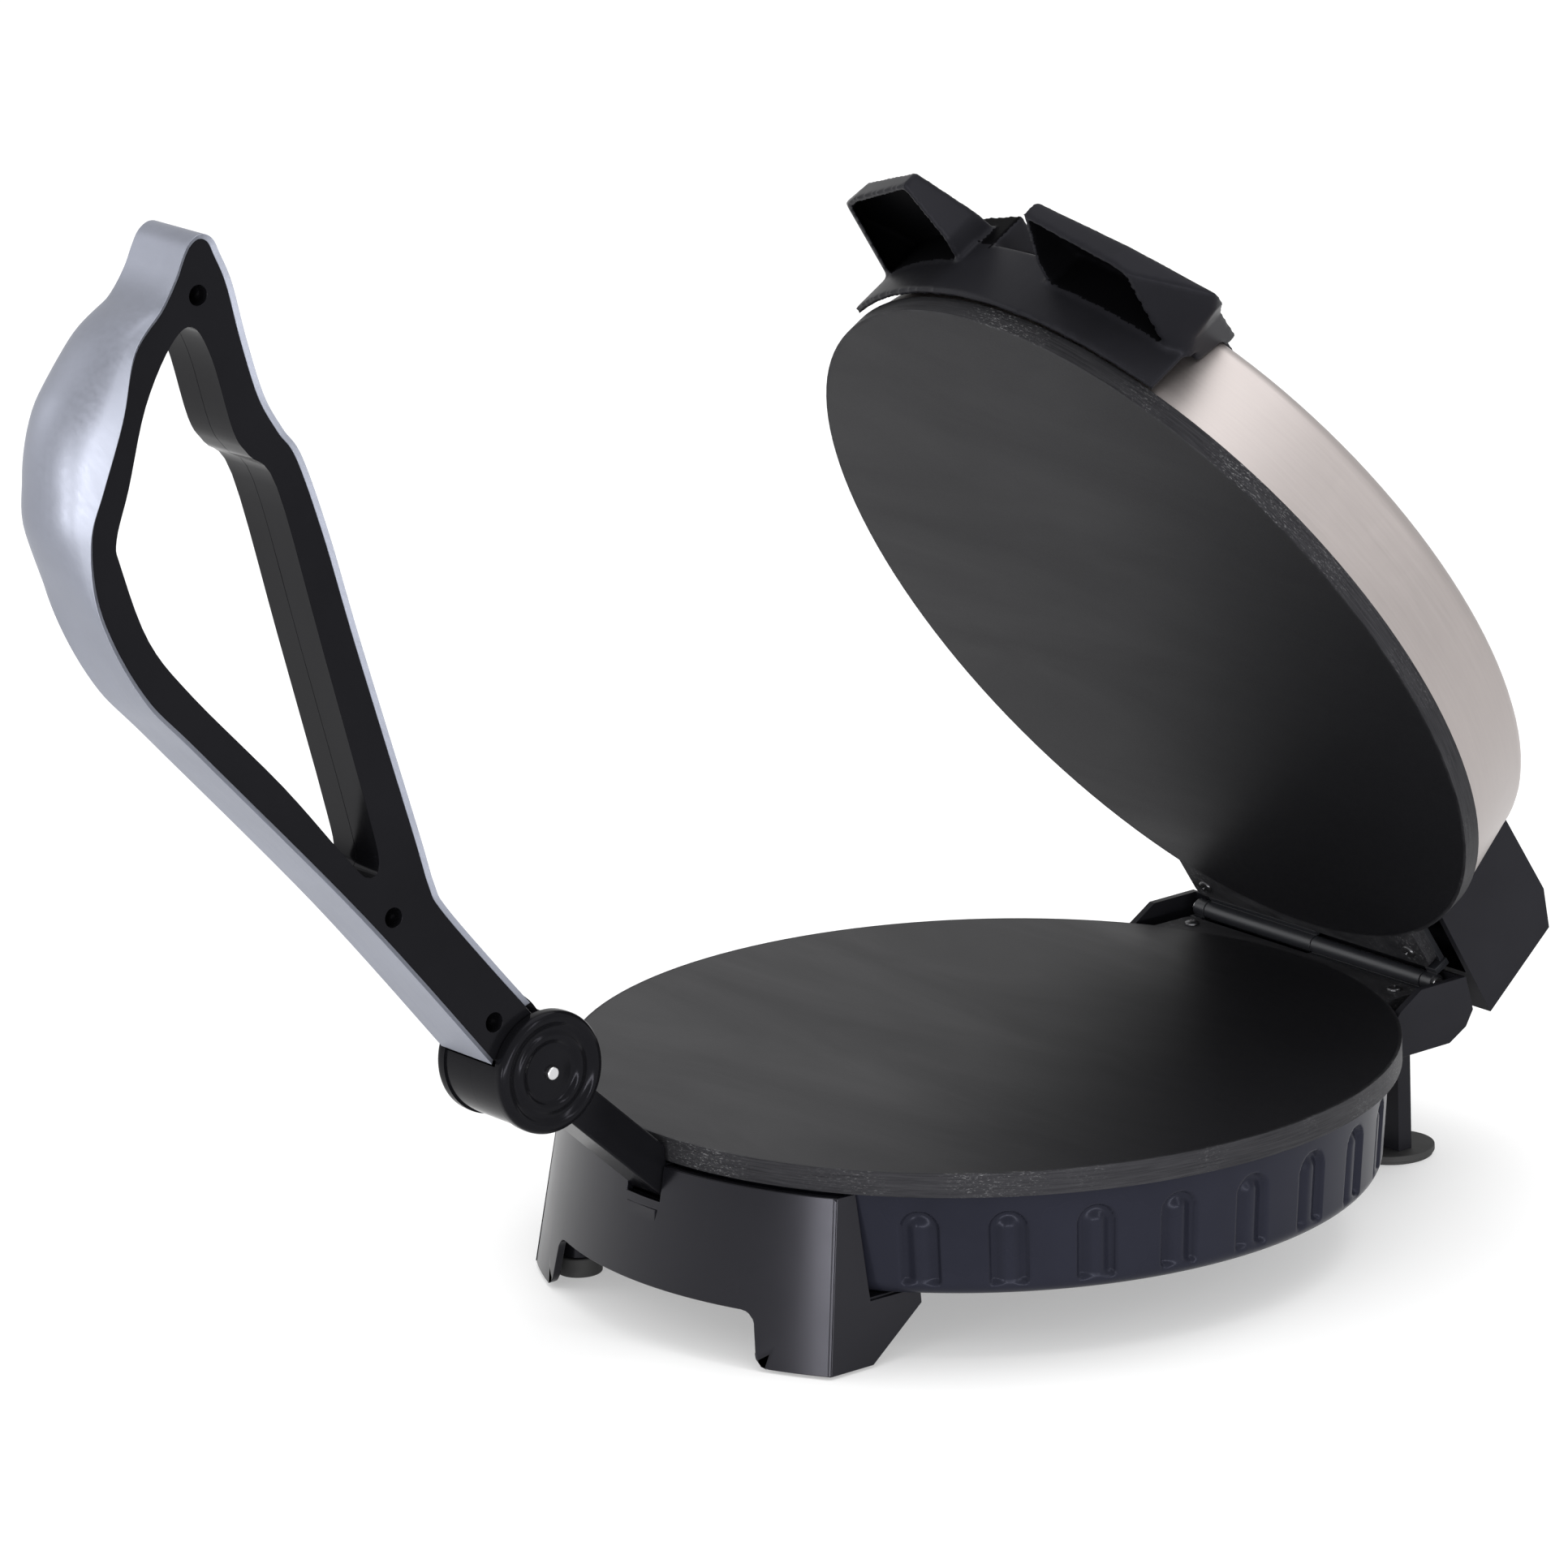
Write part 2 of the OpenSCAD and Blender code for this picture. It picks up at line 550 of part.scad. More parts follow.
module handle_right() color(plastic) at_knuckle() difference() {
    handle_side();
    for (p = handle_screw_at) translate([0, p.x, p.y]) {
        bar_x(-1, 20, 1.5);
        bar_x(3, 20, 3);
    }
}

module handle_left() color(plastic) at_knuckle() difference() {
    mirror([1, 0, 0]) handle_side();
    for (p = handle_screw_at) translate([0, p.x, p.y]) bar_x(-9, 1, 1.35);
}

// The steel band: up the back with its palm swell, over the tip and down the front
band_edge = [for (i = [0 : len(rim_edge) - 2]) rim_edge[i]];
band_turns = [for (a = [-90 : 30 : 90]) a];
function band_ring(p, n, h) = concat(
    [for (a = band_turns) let (d = strip_t + h * (3.1 + swell_h * cos(a)))
        [(handle_w / 2 + 4 * h) * sin(a), p.x + d * n.x, p.y + d * n.y]],
    [for (a = band_turns) let (d = h * (3.1 + swell_h * cos(a)))
        [-(handle_w / 2 + (4 - strip_t) * h) * sin(a), p.x + d * n.x, p.y + d * n.y]]);

module handle_strip() color(steel) at_knuckle() {
    side = beside_by(band_edge, [for (p = band_edge) 1]);
    rings = [for (i = [0 : len(band_edge) - 1]) band_ring(band_edge[i], side[i] - band_edge[i],
        i < len(back_edge) ? swell(band_edge[i].y) : 0)];
    n = 2 * len(band_turns);
    last = n * (len(rings) - 1);
    half = n / 2 - 2;
    polyhedron([for (r = rings, q = r) q], concat(
        [for (k = [0 : half]) [k, k + 1, n - 2 - k]],
        [for (k = [0 : half]) [k, n - 2 - k, n - 1 - k]],
        [for (i = [0 : len(rings) - 2], k = [0 : n - 1]) let (a = n * i + k, b = n * i + (k + 1) % n) [b, a, a + n]],
        [for (i = [0 : len(rings) - 2], k = [0 : n - 1]) let (a = n * i + k, b = n * i + (k + 1) % n) [b, a + n, b + n]],
        [for (k = [0 : half]) [last + k + 1, last + k, last + n - 2 - k]],
        [for (k = [0 : half]) [last + n - 2 - k, last + k, last + n - 1 - k]]));
}

module handle_screws() color(steel) at_knuckle() for (p = handle_screw_at) translate([0, p.x, p.y]) {
    bar_x(3, 5, 2.7);
    bar_x(-8, 3.5, 1.33);
}

// The lid, drawn closed and turned up about the hinge pin
module upper_plate() color(plate_black) in_lid() difference() {
    union() {
        plate_floor(lid_z, plate_over);
        plate_ring(plate_over, cover_z);
        for (p = lid_screw_spots()) translate([p.x, p.y, plate_over])
            cylinder(h = top_reflector_z - plate_over, r = post_r);
    }
    for (p = lid_screw_spots()) translate([p.x, p.y, plate_over + 1.5]) cylinder(h = 20, r = screw_hole);
    hinge_screw_holes(lid_z - 1, plate_over + 1);
}

function lid_screw_spots() = [for (x = [-1, 1], y = [-1, 1]) [x * lid_screw_x, y * lid_screw_y]];

module hinge_upper() color(plastic) in_lid() difference() {
    translate([0, 0, 2 * hinge_z]) mirror([0, 0, 1])
        leaf([[-tongue_x + 4.2, -0.2], [tongue_x - 3.8, tongue_x + 1]]);
    translate([0, hinge_y, hinge_z]) bar_x(-80, 80, pin_r + run_gap);
    hinge_screw_holes(plate_over - 1, plate_over + 5);
}

module hinge_screws_upper() color(steel) in_lid() hinge_screw_pair(lid_z, 1);

module upper_element() color(steel) in_lid() element(plate_over + element_tube, 1);

module upper_reflector() color(steel) in_lid() reflector(top_reflector_z, plate_r - 14, lid_screw_spots());

// Space taken by the cover, less a given inset
module cover_solid(inset) {
    c = cover_corner - inset;
    top = cover_top - inset;
    edge = cover_at(top - c) - inset;
    rotate_extrude($fn = 180) polygon(concat([[0, cover_z - 5], [cover_at(cover_z - 5) - inset, cover_z - 5]],
        arc([edge - c, top - c], c, 0, 90, 6), [[0, top]]));
}

module lid_cover() color(steel) in_lid() difference() {
    cover_solid(0);
    cover_solid(cover_t);
    translate([0, 0, cover_z - 10]) cylinder(h = 10, r = 200);
    for (p = lid_screw_spots()) translate([p.x, p.y, cover_top - 5]) cylinder(h = 10, r = screw_free);
    both_sides() translate([8, 0, cover_z + 17]) bar_y(90, 140, 1.4);
}

module lid_spacers() color(steel) in_lid() for (p = lid_screw_spots())
    translate([p.x, p.y, top_reflector_z + reflector_t]) difference() {
        cylinder(h = cover_top - cover_t - top_reflector_z - reflector_t, r = post_r);
        translate([0, 0, -1]) cylinder(h = 40, r = screw_free);
    }

module lid_screws() color(steel) in_lid() for (p = lid_screw_spots()) translate([p.x, p.y, 0]) {
    translate([0, 0, cover_top + 1.5]) cylinder(h = 2, r = 3.6);
    translate([0, 0, plate_over + 2.5]) cylinder(h = cover_top + 2 - plate_over - 2.5, r = screw_r);
}

module lid_wires() color([0.7, 0.15, 0.1]) in_lid() both_sides() {
    zp = plate_over + element_tube + 16;
    wire([[element_r * sin(8), element_r * cos(8), zp + 1.2], [8, 90, cover_z + 17], [8, hinge_y + 2, cover_z + 17]], 1.2);
}

// Everything that a bracket must leave free: the cover and a gap round the edge
module lid_core() {
    cover_solid(0);
    translate([0, 0, cover_z - 20]) cylinder(h = 38.4, r = plate_r + 1.3, $fn = 180);
}

// A wing beside the saddle, or with an inset the pocket that opens under it
module wing(inset) {
    outline = [[20, 30], [20.5, -10], [28, -wing_reach], [60.5, 12 - wing_reach], [87, 28.5 - wing_reach],
        [84, 4], [74, 13], [64, 30]];
    flank = inset > 0 ? [[10, -30], [63.5, -30], [63.5, 19], [86, 31.5], [86, 60], [10, 60]]
        : [[10, 18.8], [66, 18.8], [89, 31], [89, 60], [10, 60]];
    difference() {
        intersection() {
            translate([0, -plate_r, lid_z - 30]) linear_extrude(90) polygon(shrink(outline, inset));
            translate([0, -70, lid_z]) rotate([90, 0, 0]) linear_extrude(110) polygon(flank);
        }
        translate([28, -plate_r - wing_reach, lid_z + 25 - inset]) rotate([18, 3.7, 0])
            translate([-60, -60, 0]) cube([160, 160, 80]);
    }
}

module lid_front_bracket() color(plastic) in_lid() difference() {
    union() {
        rotate([0, 0, -90 - 32.4]) rotate_extrude(angle = 64.8, $fn = 180)
            translate([plate_r - 12, lid_z + 5.5]) square([15.5, 21.9]);
        both_sides() {
            difference() {
                wing(0);
                difference() {
                    wing(2);
                    cylinder(h = 200, r = plate_r + 4, $fn = 180);
                }
            }
            translate([0, 0, lid_z + 25]) linear_extrude(cover_top + 3.5 - lid_z - 25)
                polygon([[saddle_x, -plate_r - 3], [40, -plate_r + 4], [66, 15 - plate_r], [60, 23 - plate_r],
                    [61, 36 - plate_r], [56, 39 - plate_r], [saddle_x, 39 - plate_r]]);
        }
    }
    lid_core();
    for (p = lid_screw_spots()) translate([p.x, p.y, cover_top - 5]) cylinder(h = 20, r = screw_free);
    for (p = lid_screw_spots()) translate([p.x, p.y, cover_top + 1.5]) cylinder(h = 20, r = 4);
}

module lid_rear_bracket() color(plastic) in_lid() difference() {
    union() {
        difference() {
            slab(-housing_x, housing_x) polygon([[plate_r - 39, cover_top - 5], [plate_r - 39, cover_top + 5.5],
                [hinge_y - 1.7, cover_top + 5.5], [hinge_y + 10.4, cover_top + 0.6],
                [hinge_y + 16.4, cover_z - 0.5], [plate_r - 30, cover_z + 1.2]]);
            slab(-housing_x + housing_t, housing_x - housing_t) polygon([[plate_r - 36.5, cover_top - 8],
                [plate_r - 36.5, cover_top + 3], [hinge_y - 2.2, cover_top + 3],
                [hinge_y + 8.2, cover_top - 1.2], [hinge_y + 13.8, cover_z], [plate_r - 36.5, cover_z]]);
        }
        both_sides() translate([lid_screw_x, lid_screw_y, cover_top - 1]) cylinder(h = 5, r = 6);
    }
    cover_solid(0);
    for (p = lid_screw_spots()) translate([p.x, p.y, cover_top - 5]) cylinder(h = 20, r = screw_free);
    for (p = lid_screw_spots()) translate([p.x, p.y, cover_top + 1.5]) cylinder(h = 20, r = 4);
}

lower_plate();
lower_element();
lower_reflector();
thermostat();
thermal_fuse();
base_pan();
base_screws();
terminal_block();
base_wires();
cord_gland();
front_stand();
stand_screws();
front_feet();
rear_housing();
housing_screws();
rear_feet();
hinge_lower();
hinge_screws_lower();
hinge_pin();
handle_strut();
strut_screws();
knuckle_left();
knuckle_right();
knuckle_axle();
upper_plate();
hinge_upper();
hinge_screws_upper();
upper_element();
upper_reflector();
lid_cover();
lid_spacers();
lid_screws();
lid_wires();
lid_front_bracket();
lid_rear_bracket();
handle_left();
handle_right();
handle_strip();
handle_screws();
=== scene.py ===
"""A flatbread maker with its lid open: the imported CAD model, dressed for its portrait."""

import json
import math

import bmesh
import bpy
from mathutils import Matrix, Vector
from mathutils.bvhtree import BVHTree
from mathutils.geometry import tessellate_polygon

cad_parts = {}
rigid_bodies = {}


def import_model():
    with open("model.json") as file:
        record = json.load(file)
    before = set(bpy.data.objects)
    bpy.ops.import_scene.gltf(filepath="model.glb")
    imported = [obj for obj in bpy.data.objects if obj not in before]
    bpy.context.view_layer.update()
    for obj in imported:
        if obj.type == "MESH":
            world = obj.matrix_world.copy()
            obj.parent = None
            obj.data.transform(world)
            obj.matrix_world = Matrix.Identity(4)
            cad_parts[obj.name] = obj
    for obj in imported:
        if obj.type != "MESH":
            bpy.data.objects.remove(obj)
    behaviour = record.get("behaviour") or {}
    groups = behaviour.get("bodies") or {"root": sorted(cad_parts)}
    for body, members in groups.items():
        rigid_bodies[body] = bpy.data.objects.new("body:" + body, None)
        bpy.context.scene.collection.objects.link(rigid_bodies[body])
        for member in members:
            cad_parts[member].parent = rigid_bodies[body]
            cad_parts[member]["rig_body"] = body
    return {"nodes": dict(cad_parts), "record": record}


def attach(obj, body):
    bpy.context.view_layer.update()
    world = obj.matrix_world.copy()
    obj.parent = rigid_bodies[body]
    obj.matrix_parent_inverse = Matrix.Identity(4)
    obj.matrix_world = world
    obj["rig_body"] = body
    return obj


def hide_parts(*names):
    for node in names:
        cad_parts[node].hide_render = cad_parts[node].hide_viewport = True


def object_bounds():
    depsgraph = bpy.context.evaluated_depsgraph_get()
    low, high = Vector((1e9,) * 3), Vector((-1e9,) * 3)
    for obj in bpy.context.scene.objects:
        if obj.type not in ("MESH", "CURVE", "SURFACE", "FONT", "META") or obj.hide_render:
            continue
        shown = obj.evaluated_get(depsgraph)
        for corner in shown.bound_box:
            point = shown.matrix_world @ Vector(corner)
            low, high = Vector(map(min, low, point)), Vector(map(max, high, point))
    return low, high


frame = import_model()
cad_low, cad_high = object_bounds()

NODES = frame["nodes"]
JOINTS = {joint["name"]: joint for joint in frame["record"]["behaviour"]["joints"]}
MM = 0.001
ONE_POINT = 0.000005  # corners closer than this are one
FULL_TURN = 2 * math.pi
UP, DOWN, RIGHT = Vector((0, 0, 1)), Vector((0, 0, -1)), Vector((1, 0, 0))

# Places that the pieces and their patterns are set out from
HINGE = Vector(JOINTS["lid_hinge"]["pos_m"])
KNUCKLE = Vector(JOINTS["handle_pivot"]["pos_m"])
PLATE_R = (cad_high.x - cad_low.x) / 2
HINGE_BACK = 7.2 * MM  # from the plates' rim to the hinge pin
PLATE_Y = HINGE.y - PLATE_R - HINGE_BACK
LID_OPEN = math.radians(58.9)
OPENING = Matrix.Rotation(-LID_OPEN, 3, "X")  # turns the closed lid open
PLATE_MIDDLE = Vector((0, PLATE_Y, HINGE.z))
LID_MIDDLE = HINGE + OPENING @ (PLATE_MIDDLE - HINGE)
LEVEL, LID_LEVELLED = (0, 0, 0), (LID_OPEN, 0, 0)  # turns that lay a plate's pattern flat


# Node trees, written as expressions

def plug(tree, socket, value):
    """Links a Value to a socket, or sets the socket to a plain number, colour or vector."""
    if isinstance(value, Value):
        tree.links.new(value.socket, socket)
    elif socket.type == "RGBA" and len(value) == 3:
        socket.default_value = (*value, 1)
    else:
        socket.default_value = value


def reckon(tree, operation, *terms):
    """A Math node on Values and numbers."""
    node = tree.nodes.new("ShaderNodeMath")
    node.operation = operation
    for socket, term in zip(node.inputs, terms):
        plug(tree, socket, term)
    return Value(tree, node.outputs[0])


class Value:
    """A node's output, on which Python's operators add Math nodes."""

    def __init__(self, tree, socket):
        self.tree = tree
        self.socket = socket

    def to(self, operation, *others):
        """The result of any other operation on this value."""
        return reckon(self.tree, operation, self, *others)

    def __add__(self, other):
        return self.to("ADD", other)

    __radd__ = __add__

    def __sub__(self, other):
        return self.to("SUBTRACT", other)

    def __rsub__(self, other):
        return reckon(self.tree, "SUBTRACT", other, self)

    def __mul__(self, other):
        return self.to("MULTIPLY", other)

    __rmul__ = __mul__

    def __truediv__(self, other):
        return self.to("DIVIDE", other)

    def __pow__(self, other):
        return self.to("POWER", other)


class Finish:
    """A material that is built node by node."""

    def __init__(self, name):
        self.material = bpy.data.materials.new(name)
        self.material.use_nodes = True
        self.tree = self.material.node_tree
        self.shader = self.tree.nodes["Principled BSDF"]

    def node_type(self, kind):
        return "ShaderNode" + kind

    def make(self, kind, settings=None, output=0, **inputs):
        """One node: its settings, then its sockets, by number as i0 or by name with _ for a space."""
        node = self.tree.nodes.new(self.node_type(kind))
        for name, value in (settings or {}).items():
            setattr(node, name, value)
        for name, value in inputs.items():
            key = int(name[1:]) if name[1:].isdigit() else name.replace("_", " ")
            plug(self.tree, node.inputs[key], value)
        return Value(self.tree, node.outputs[output])

    def axes(self, where):
        """The three coordinates of a vector."""
        node = self.tree.nodes.new("ShaderNodeSeparateXYZ")
        plug(self.tree, node.inputs[0], where)
        return [Value(self.tree, socket) for socket in node.outputs]

    def place(self, centre=(0, 0, 0), turn=(0, 0, 0), stretch=(1, 1, 1)):
        """Object coordinates, moved so that centre is the origin, then turned and stretched."""
        where = self.make("TexCoord", output="Object")
        moved = self.make("Mapping", Vector=where, Location=tuple(-c for c in centre))
        turned = self.make("Mapping", Vector=moved, Rotation=turn)
        return self.make("Mapping", Vector=turned, Scale=stretch)

    def noise(self, where, scale, detail, roughness=0.55, distortion=0.0):
        return self.make("TexNoise", Vector=where, Scale=scale, Detail=detail,
                         Roughness=roughness, Distortion=distortion)

    def between(self, value, low, high, to_low=0.0, to_high=1.0):
        return self.make("MapRange", Value=value, From_Min=low, From_Max=high,
                         To_Min=to_low, To_Max=to_high)

    def blend(self, amount, a, b):
        """Colour a turning into colour b as amount goes from 0 to 1."""
        return self.make("Mix", {"data_type": "RGBA"}, output=2, i0=amount, i6=a, i7=b)

    def bump(self, height, strength, distance):
        return self.make("Bump", Height=height, Strength=strength, Distance=distance)

    def wear(self, **inputs):
        """Sets the shader's own sockets."""
        for name, value in inputs.items():
            plug(self.tree, self.shader.inputs[name.replace("_", " ")], value)


class Shaping(Finish):
    """A Geometry Nodes tree that is built node by node, with named inputs for its sizes."""

    def __init__(self, name, sizes):
        self.tree = bpy.data.node_groups.new(name, "GeometryNodeTree")
        face = self.tree.interface
        face.new_socket("Geometry", in_out="INPUT", socket_type="NodeSocketGeometry")
        self.keys = {size: face.new_socket(size, in_out="INPUT", socket_type="NodeSocketFloat").identifier
                     for size in sizes}
        face.new_socket("Geometry", in_out="OUTPUT", socket_type="NodeSocketGeometry")
        entry = self.tree.nodes.new("NodeGroupInput")
        self.inputs = {s.name: Value(self.tree, s) for s in entry.outputs if s.name}
        self.sizes = sizes

    def node_type(self, kind):
        return kind if kind.startswith(("ShaderNode", "FunctionNode")) else "GeometryNode" + kind

    def step(self, value, low, high, to_low=0.0, to_high=1.0):
        """A smooth step from low to high."""
        return self.make("ShaderNodeMapRange", {"interpolation_type": "SMOOTHSTEP"}, Value=value,
                         From_Min=low, From_Max=high, To_Min=to_low, To_Max=to_high)

    def vector(self, x, y, z):
        return self.make("ShaderNodeCombineXYZ", X=x, Y=y, Z=z)

    def applied(self, mesh, name, geometry, finish):
        """An object with the tree's geometry as its plain mesh. The tree starts from a bmesh."""
        single = self.make("RealizeInstances", Geometry=geometry)
        dressed = self.make("SetMaterial", Geometry=single, Material=FINISHES[finish])
        plug(self.tree, self.tree.nodes.new("NodeGroupOutput").inputs[0], dressed)
        o = stood(name, mesh)
        modifier = o.modifiers.new(name, "NODES")
        modifier.node_group = self.tree
        for size, value in self.sizes.items():
            modifier[self.keys[size]] = value
        return settled(o)


# Finishes

def shade_of(colour, share):
    return tuple(share * c for c in colour)


def gloss_black(name, colour, rough, grain=0.04, shine=0.1, tint=(0.88, 0.87, 1.0)):
    """Moulded plastic or enamel: a smooth dark skin with a faint orange peel and soft, uneven wear."""
    f = Finish(name)
    where = f.place()
    blotch = f.noise(where, 28, 3)
    rubbed = f.noise(where, 7, 2)
    peel = f.noise(where, 520, 2)
    f.wear(Base_Color=f.blend(blotch, shade_of(colour, 0.7), shade_of(colour, 1.3)),
           Roughness=f.between(blotch, 0.3, 0.7, rough - 0.03, rough + 0.03)
           + f.between(rubbed, 0.35, 0.65, 0, 0.05),
           Specular_IOR_Level=shine, Specular_Tint=tint,
           Normal=f.bump(peel, grain, 0.2 * MM))
    return f.material


def spun_steel(name, colour, rough, centre, turn):
    """Sheet steel brushed round an axis through centre, with soft smudges."""
    f = Finish(name)
    where = f.place(centre, turn)
    x, y, z = f.axes(where)
    radius = (x * x + y * y) ** 0.5
    angle = y.to("ARCTAN2", x)
    lines = f.noise(f.make("CombineXYZ", X=radius * 900, Y=z * 900, Z=angle * 5), 1.0, 5, 0.7)
    smudge = f.noise(where, 14, 3)
    tone = f.between(lines, 0.25, 0.75, -0.5, 0.5)
    f.wear(Base_Color=f.blend(tone + 0.5, shade_of(colour, 0.9), colour),
           Roughness=f.between(smudge, 0.3, 0.7, rough - 0.03, rough + 0.05) + tone * 0.06,
           Metallic=1.0,
           Normal=f.bump(lines, 0.03, 0.3 * MM))
    return f.material


def brushed_strip(name, colour, rough):
    """Steel strip brushed along the handle, which leans 38 degrees forward."""
    f = Finish(name)
    lines = f.noise(f.place(KNUCKLE, (math.radians(-38), 0, 0), (700, 700, 12)), 1.0, 5, 0.65)
    smudge = f.noise(f.place(), 22, 3)
    tone = f.between(smudge, 0.3, 0.7) * 0.6 + f.between(lines, 0.3, 0.7) * 0.4
    f.wear(Base_Color=f.blend(tone, shade_of(colour, 0.78), colour),
           Roughness=f.between(lines, 0.25, 0.75, rough - 0.08, rough + 0.06),
           Metallic=1.0,
           Normal=f.bump(lines, 0.12, 0.3 * MM))
    return f.material


def non_stick(name, centre, turn, shine):
    """Non-stick coating: satin with smudges, and turning marks and worn flecks on the plate's rim."""
    f = Finish(name)
    where = f.place(centre, turn)
    x, y, z = f.axes(where)
    radius = (x * x + y * y) ** 0.5
    angle = y.to("ARCTAN2", x)
    wiped = f.make("Mapping", Vector=where, Rotation=(0, 0, math.radians(52)), Scale=(7, 26, 7))
    cloud = f.noise(wiped, 1.0, 4, 0.6, 0.6)
    speck = f.noise(where, 1500, 2, 0.7)
    rim = f.between(radius, PLATE_R - 1.2 * MM, PLATE_R - 0.4 * MM)
    turning = f.noise(f.make("CombineXYZ", X=angle * 9, Y=z * 2600, Z=radius * 200), 1.0, 4, 0.7)
    scratch = f.noise(f.make("CombineXYZ", X=angle * 95, Y=z * 2400, Z=radius * 900), 1.0, 4, 0.8)
    worn = f.between(f.noise(where, 17, 2), 0.46, 0.6)
    fleck = f.between(scratch, 0.56, 0.66) * worn * rim
    face = f.blend(f.between(speck, 0.3, 0.7), (0.0045, 0.0045, 0.0052), (0.009, 0.009, 0.0102))
    side = f.blend(f.between(turning, 0.3, 0.7), (0.008, 0.008, 0.009), (0.026, 0.026, 0.028))
    f.wear(Base_Color=f.blend(fleck * 0.8, f.blend(rim, face, side), (0.2, 0.2, 0.205)),
           Roughness=f.between(cloud, 0.3, 0.7, 0.39, 0.48) + rim * 0.12,
           Specular_IOR_Level=shine, Specular_Tint=(0.9, 0.88, 1.0),
           Normal=f.bump(speck * 0.6 + turning * rim, 0.12, 0.2 * MM))
    return f.material


def plain(name, colour, rough, metal=0.0):
    """A simple inner part: its colour mottled a little, with a fine grain."""
    f = Finish(name)
    where = f.place()
    mottle = f.noise(where, 50, 3)
    f.wear(Base_Color=f.blend(mottle, shade_of(colour, 0.8), colour),
           Roughness=f.between(mottle, 0.3, 0.7, rough - 0.05, rough + 0.05),
           Metallic=metal,
           Normal=f.bump(f.noise(where, 400, 3), 0.05, 0.2 * MM))
    return f.material


FINISHES = {
    "plate_low": non_stick("non-stick coating, lower", PLATE_MIDDLE, LEVEL, 0.15),
    "plate_up": non_stick("non-stick coating, upper", LID_MIDDLE, LID_LEVELLED, 0.1),
    "cover": spun_steel("brushed cover steel", (0.39, 0.355, 0.345), 0.42, LID_MIDDLE, LID_LEVELLED),
    "strip": brushed_strip("brushed strip steel", (0.3, 0.315, 0.37), 0.5),
    "gloss": gloss_black("glossy black moulding", (0.0042, 0.0042, 0.005), 0.12, 0.02, 0.065),
    "stand": gloss_black("polished black stand", (0.004, 0.004, 0.005), 0.2, 0.012, 0.27),
    "satin": gloss_black("satin black moulding", (0.0095, 0.0095, 0.0115), 0.38, 0.06, 0.09),
    # painted shade: this near-black, dull finish darkens the insides of the wings' pockets, where shade
    # falls
    "recess": gloss_black("painted shade inside the wings", (0.0015, 0.0015, 0.0018), 0.6, 0.06, 0.02),
    "pan": gloss_black("black enamelled pan", (0.0115, 0.012, 0.018), 0.26, 0.015, 0.1, (0.78, 0.8, 1.0)),
    "hinge": plain("painted hinge steel", (0.02, 0.021, 0.025), 0.36, 0.3),
    "blued": plain("blackened screw steel", (0.09, 0.09, 0.095), 0.3, 0.9),
    "rubber": plain("black rubber", (0.02, 0.02, 0.02), 0.75),
    "zinc": plain("zinc-plated steel", (0.62, 0.62, 0.63), 0.32, 1.0),
    "element": plain("oxidised heating tube", (0.2, 0.17, 0.15), 0.5, 0.9),
    "mirror": plain("bright aluminium sheet", (0.8, 0.8, 0.81), 0.22, 1.0),
    "brass": plain("plain brass", (0.7, 0.52, 0.25), 0.35, 1.0),
    "ceramic": plain("white ceramic", (0.8, 0.77, 0.7), 0.5),
    "wire": plain("heat-proof red sleeve", (0.45, 0.05, 0.03), 0.6),
}

WORN_BY = {
    "plate_low": ["lower_plate"],
    "plate_up": ["upper_plate"],
    "cover": ["lid_cover"],
    "strip": ["handle_strip"],
    "gloss": ["handle_left", "handle_right", "knuckle_left", "knuckle_right"],
    "stand": ["front_stand"],
    "satin": ["lid_front_bracket", "lid_rear_bracket", "rear_housing", "handle_strut"],
    "pan": ["base_pan"],
    "hinge": ["hinge_lower", "hinge_upper"],
    "rubber": ["front_feet", "rear_feet", "cord_gland"],
    "zinc": ["base_screws", "stand_screws", "housing_screws", "hinge_screws_lower",
             "hinge_screws_upper", "hinge_pin", "strut_screws", "knuckle_axle", "lid_spacers",
             "lid_screws", "handle_screws"],
    "element": ["lower_element", "upper_element"],
    "mirror": ["lower_reflector", "upper_reflector"],
    "brass": ["thermostat"],
    "ceramic": ["terminal_block", "thermal_fuse"],
    "wire": ["base_wires", "lid_wires"],
}

for finish, names in WORN_BY.items():
    for name in names:
        NODES[name].data.materials.clear()
        NODES[name].data.materials.append(FINISHES[finish])


# Making a piece

def stood(name, mesh):
    """A new object in the scene that holds a bmesh."""
    data = bpy.data.meshes.new(name)
    mesh.to_mesh(data)
    mesh.free()
    return linked(name, data)


def linked(name, data):
    o = bpy.data.objects.new(name, data)
    bpy.context.scene.collection.objects.link(o)
    return o


def settled(o):
    """The object, with what its modifiers make as its plain mesh."""
    bpy.context.view_layer.update()
    result = bpy.data.meshes.new_from_object(o.evaluated_get(bpy.context.evaluated_depsgraph_get()))
    o.modifiers.clear()
    first, o.data = o.data, result
    bpy.data.meshes.remove(first)
    return o


def shade(mesh, sharp):
    """Shades a bmesh smooth, apart from edges sharper than an angle in degrees."""
    for edge in mesh.edges:
        edge.smooth = edge.is_manifold and edge.calc_face_angle(0) < math.radians(sharp)
    for face in mesh.faces:
        face.smooth = True


def merged(name):
    """A CAD node's mesh with its doubles merged and its flat triangles joined into whole faces."""
    mesh = bmesh.new()
    mesh.from_mesh(NODES[name].data)
    bmesh.ops.remove_doubles(mesh, verts=mesh.verts, dist=ONE_POINT)
    bmesh.ops.dissolve_limit(mesh, angle_limit=math.radians(0.6), verts=mesh.verts, edges=mesh.edges)
    return mesh


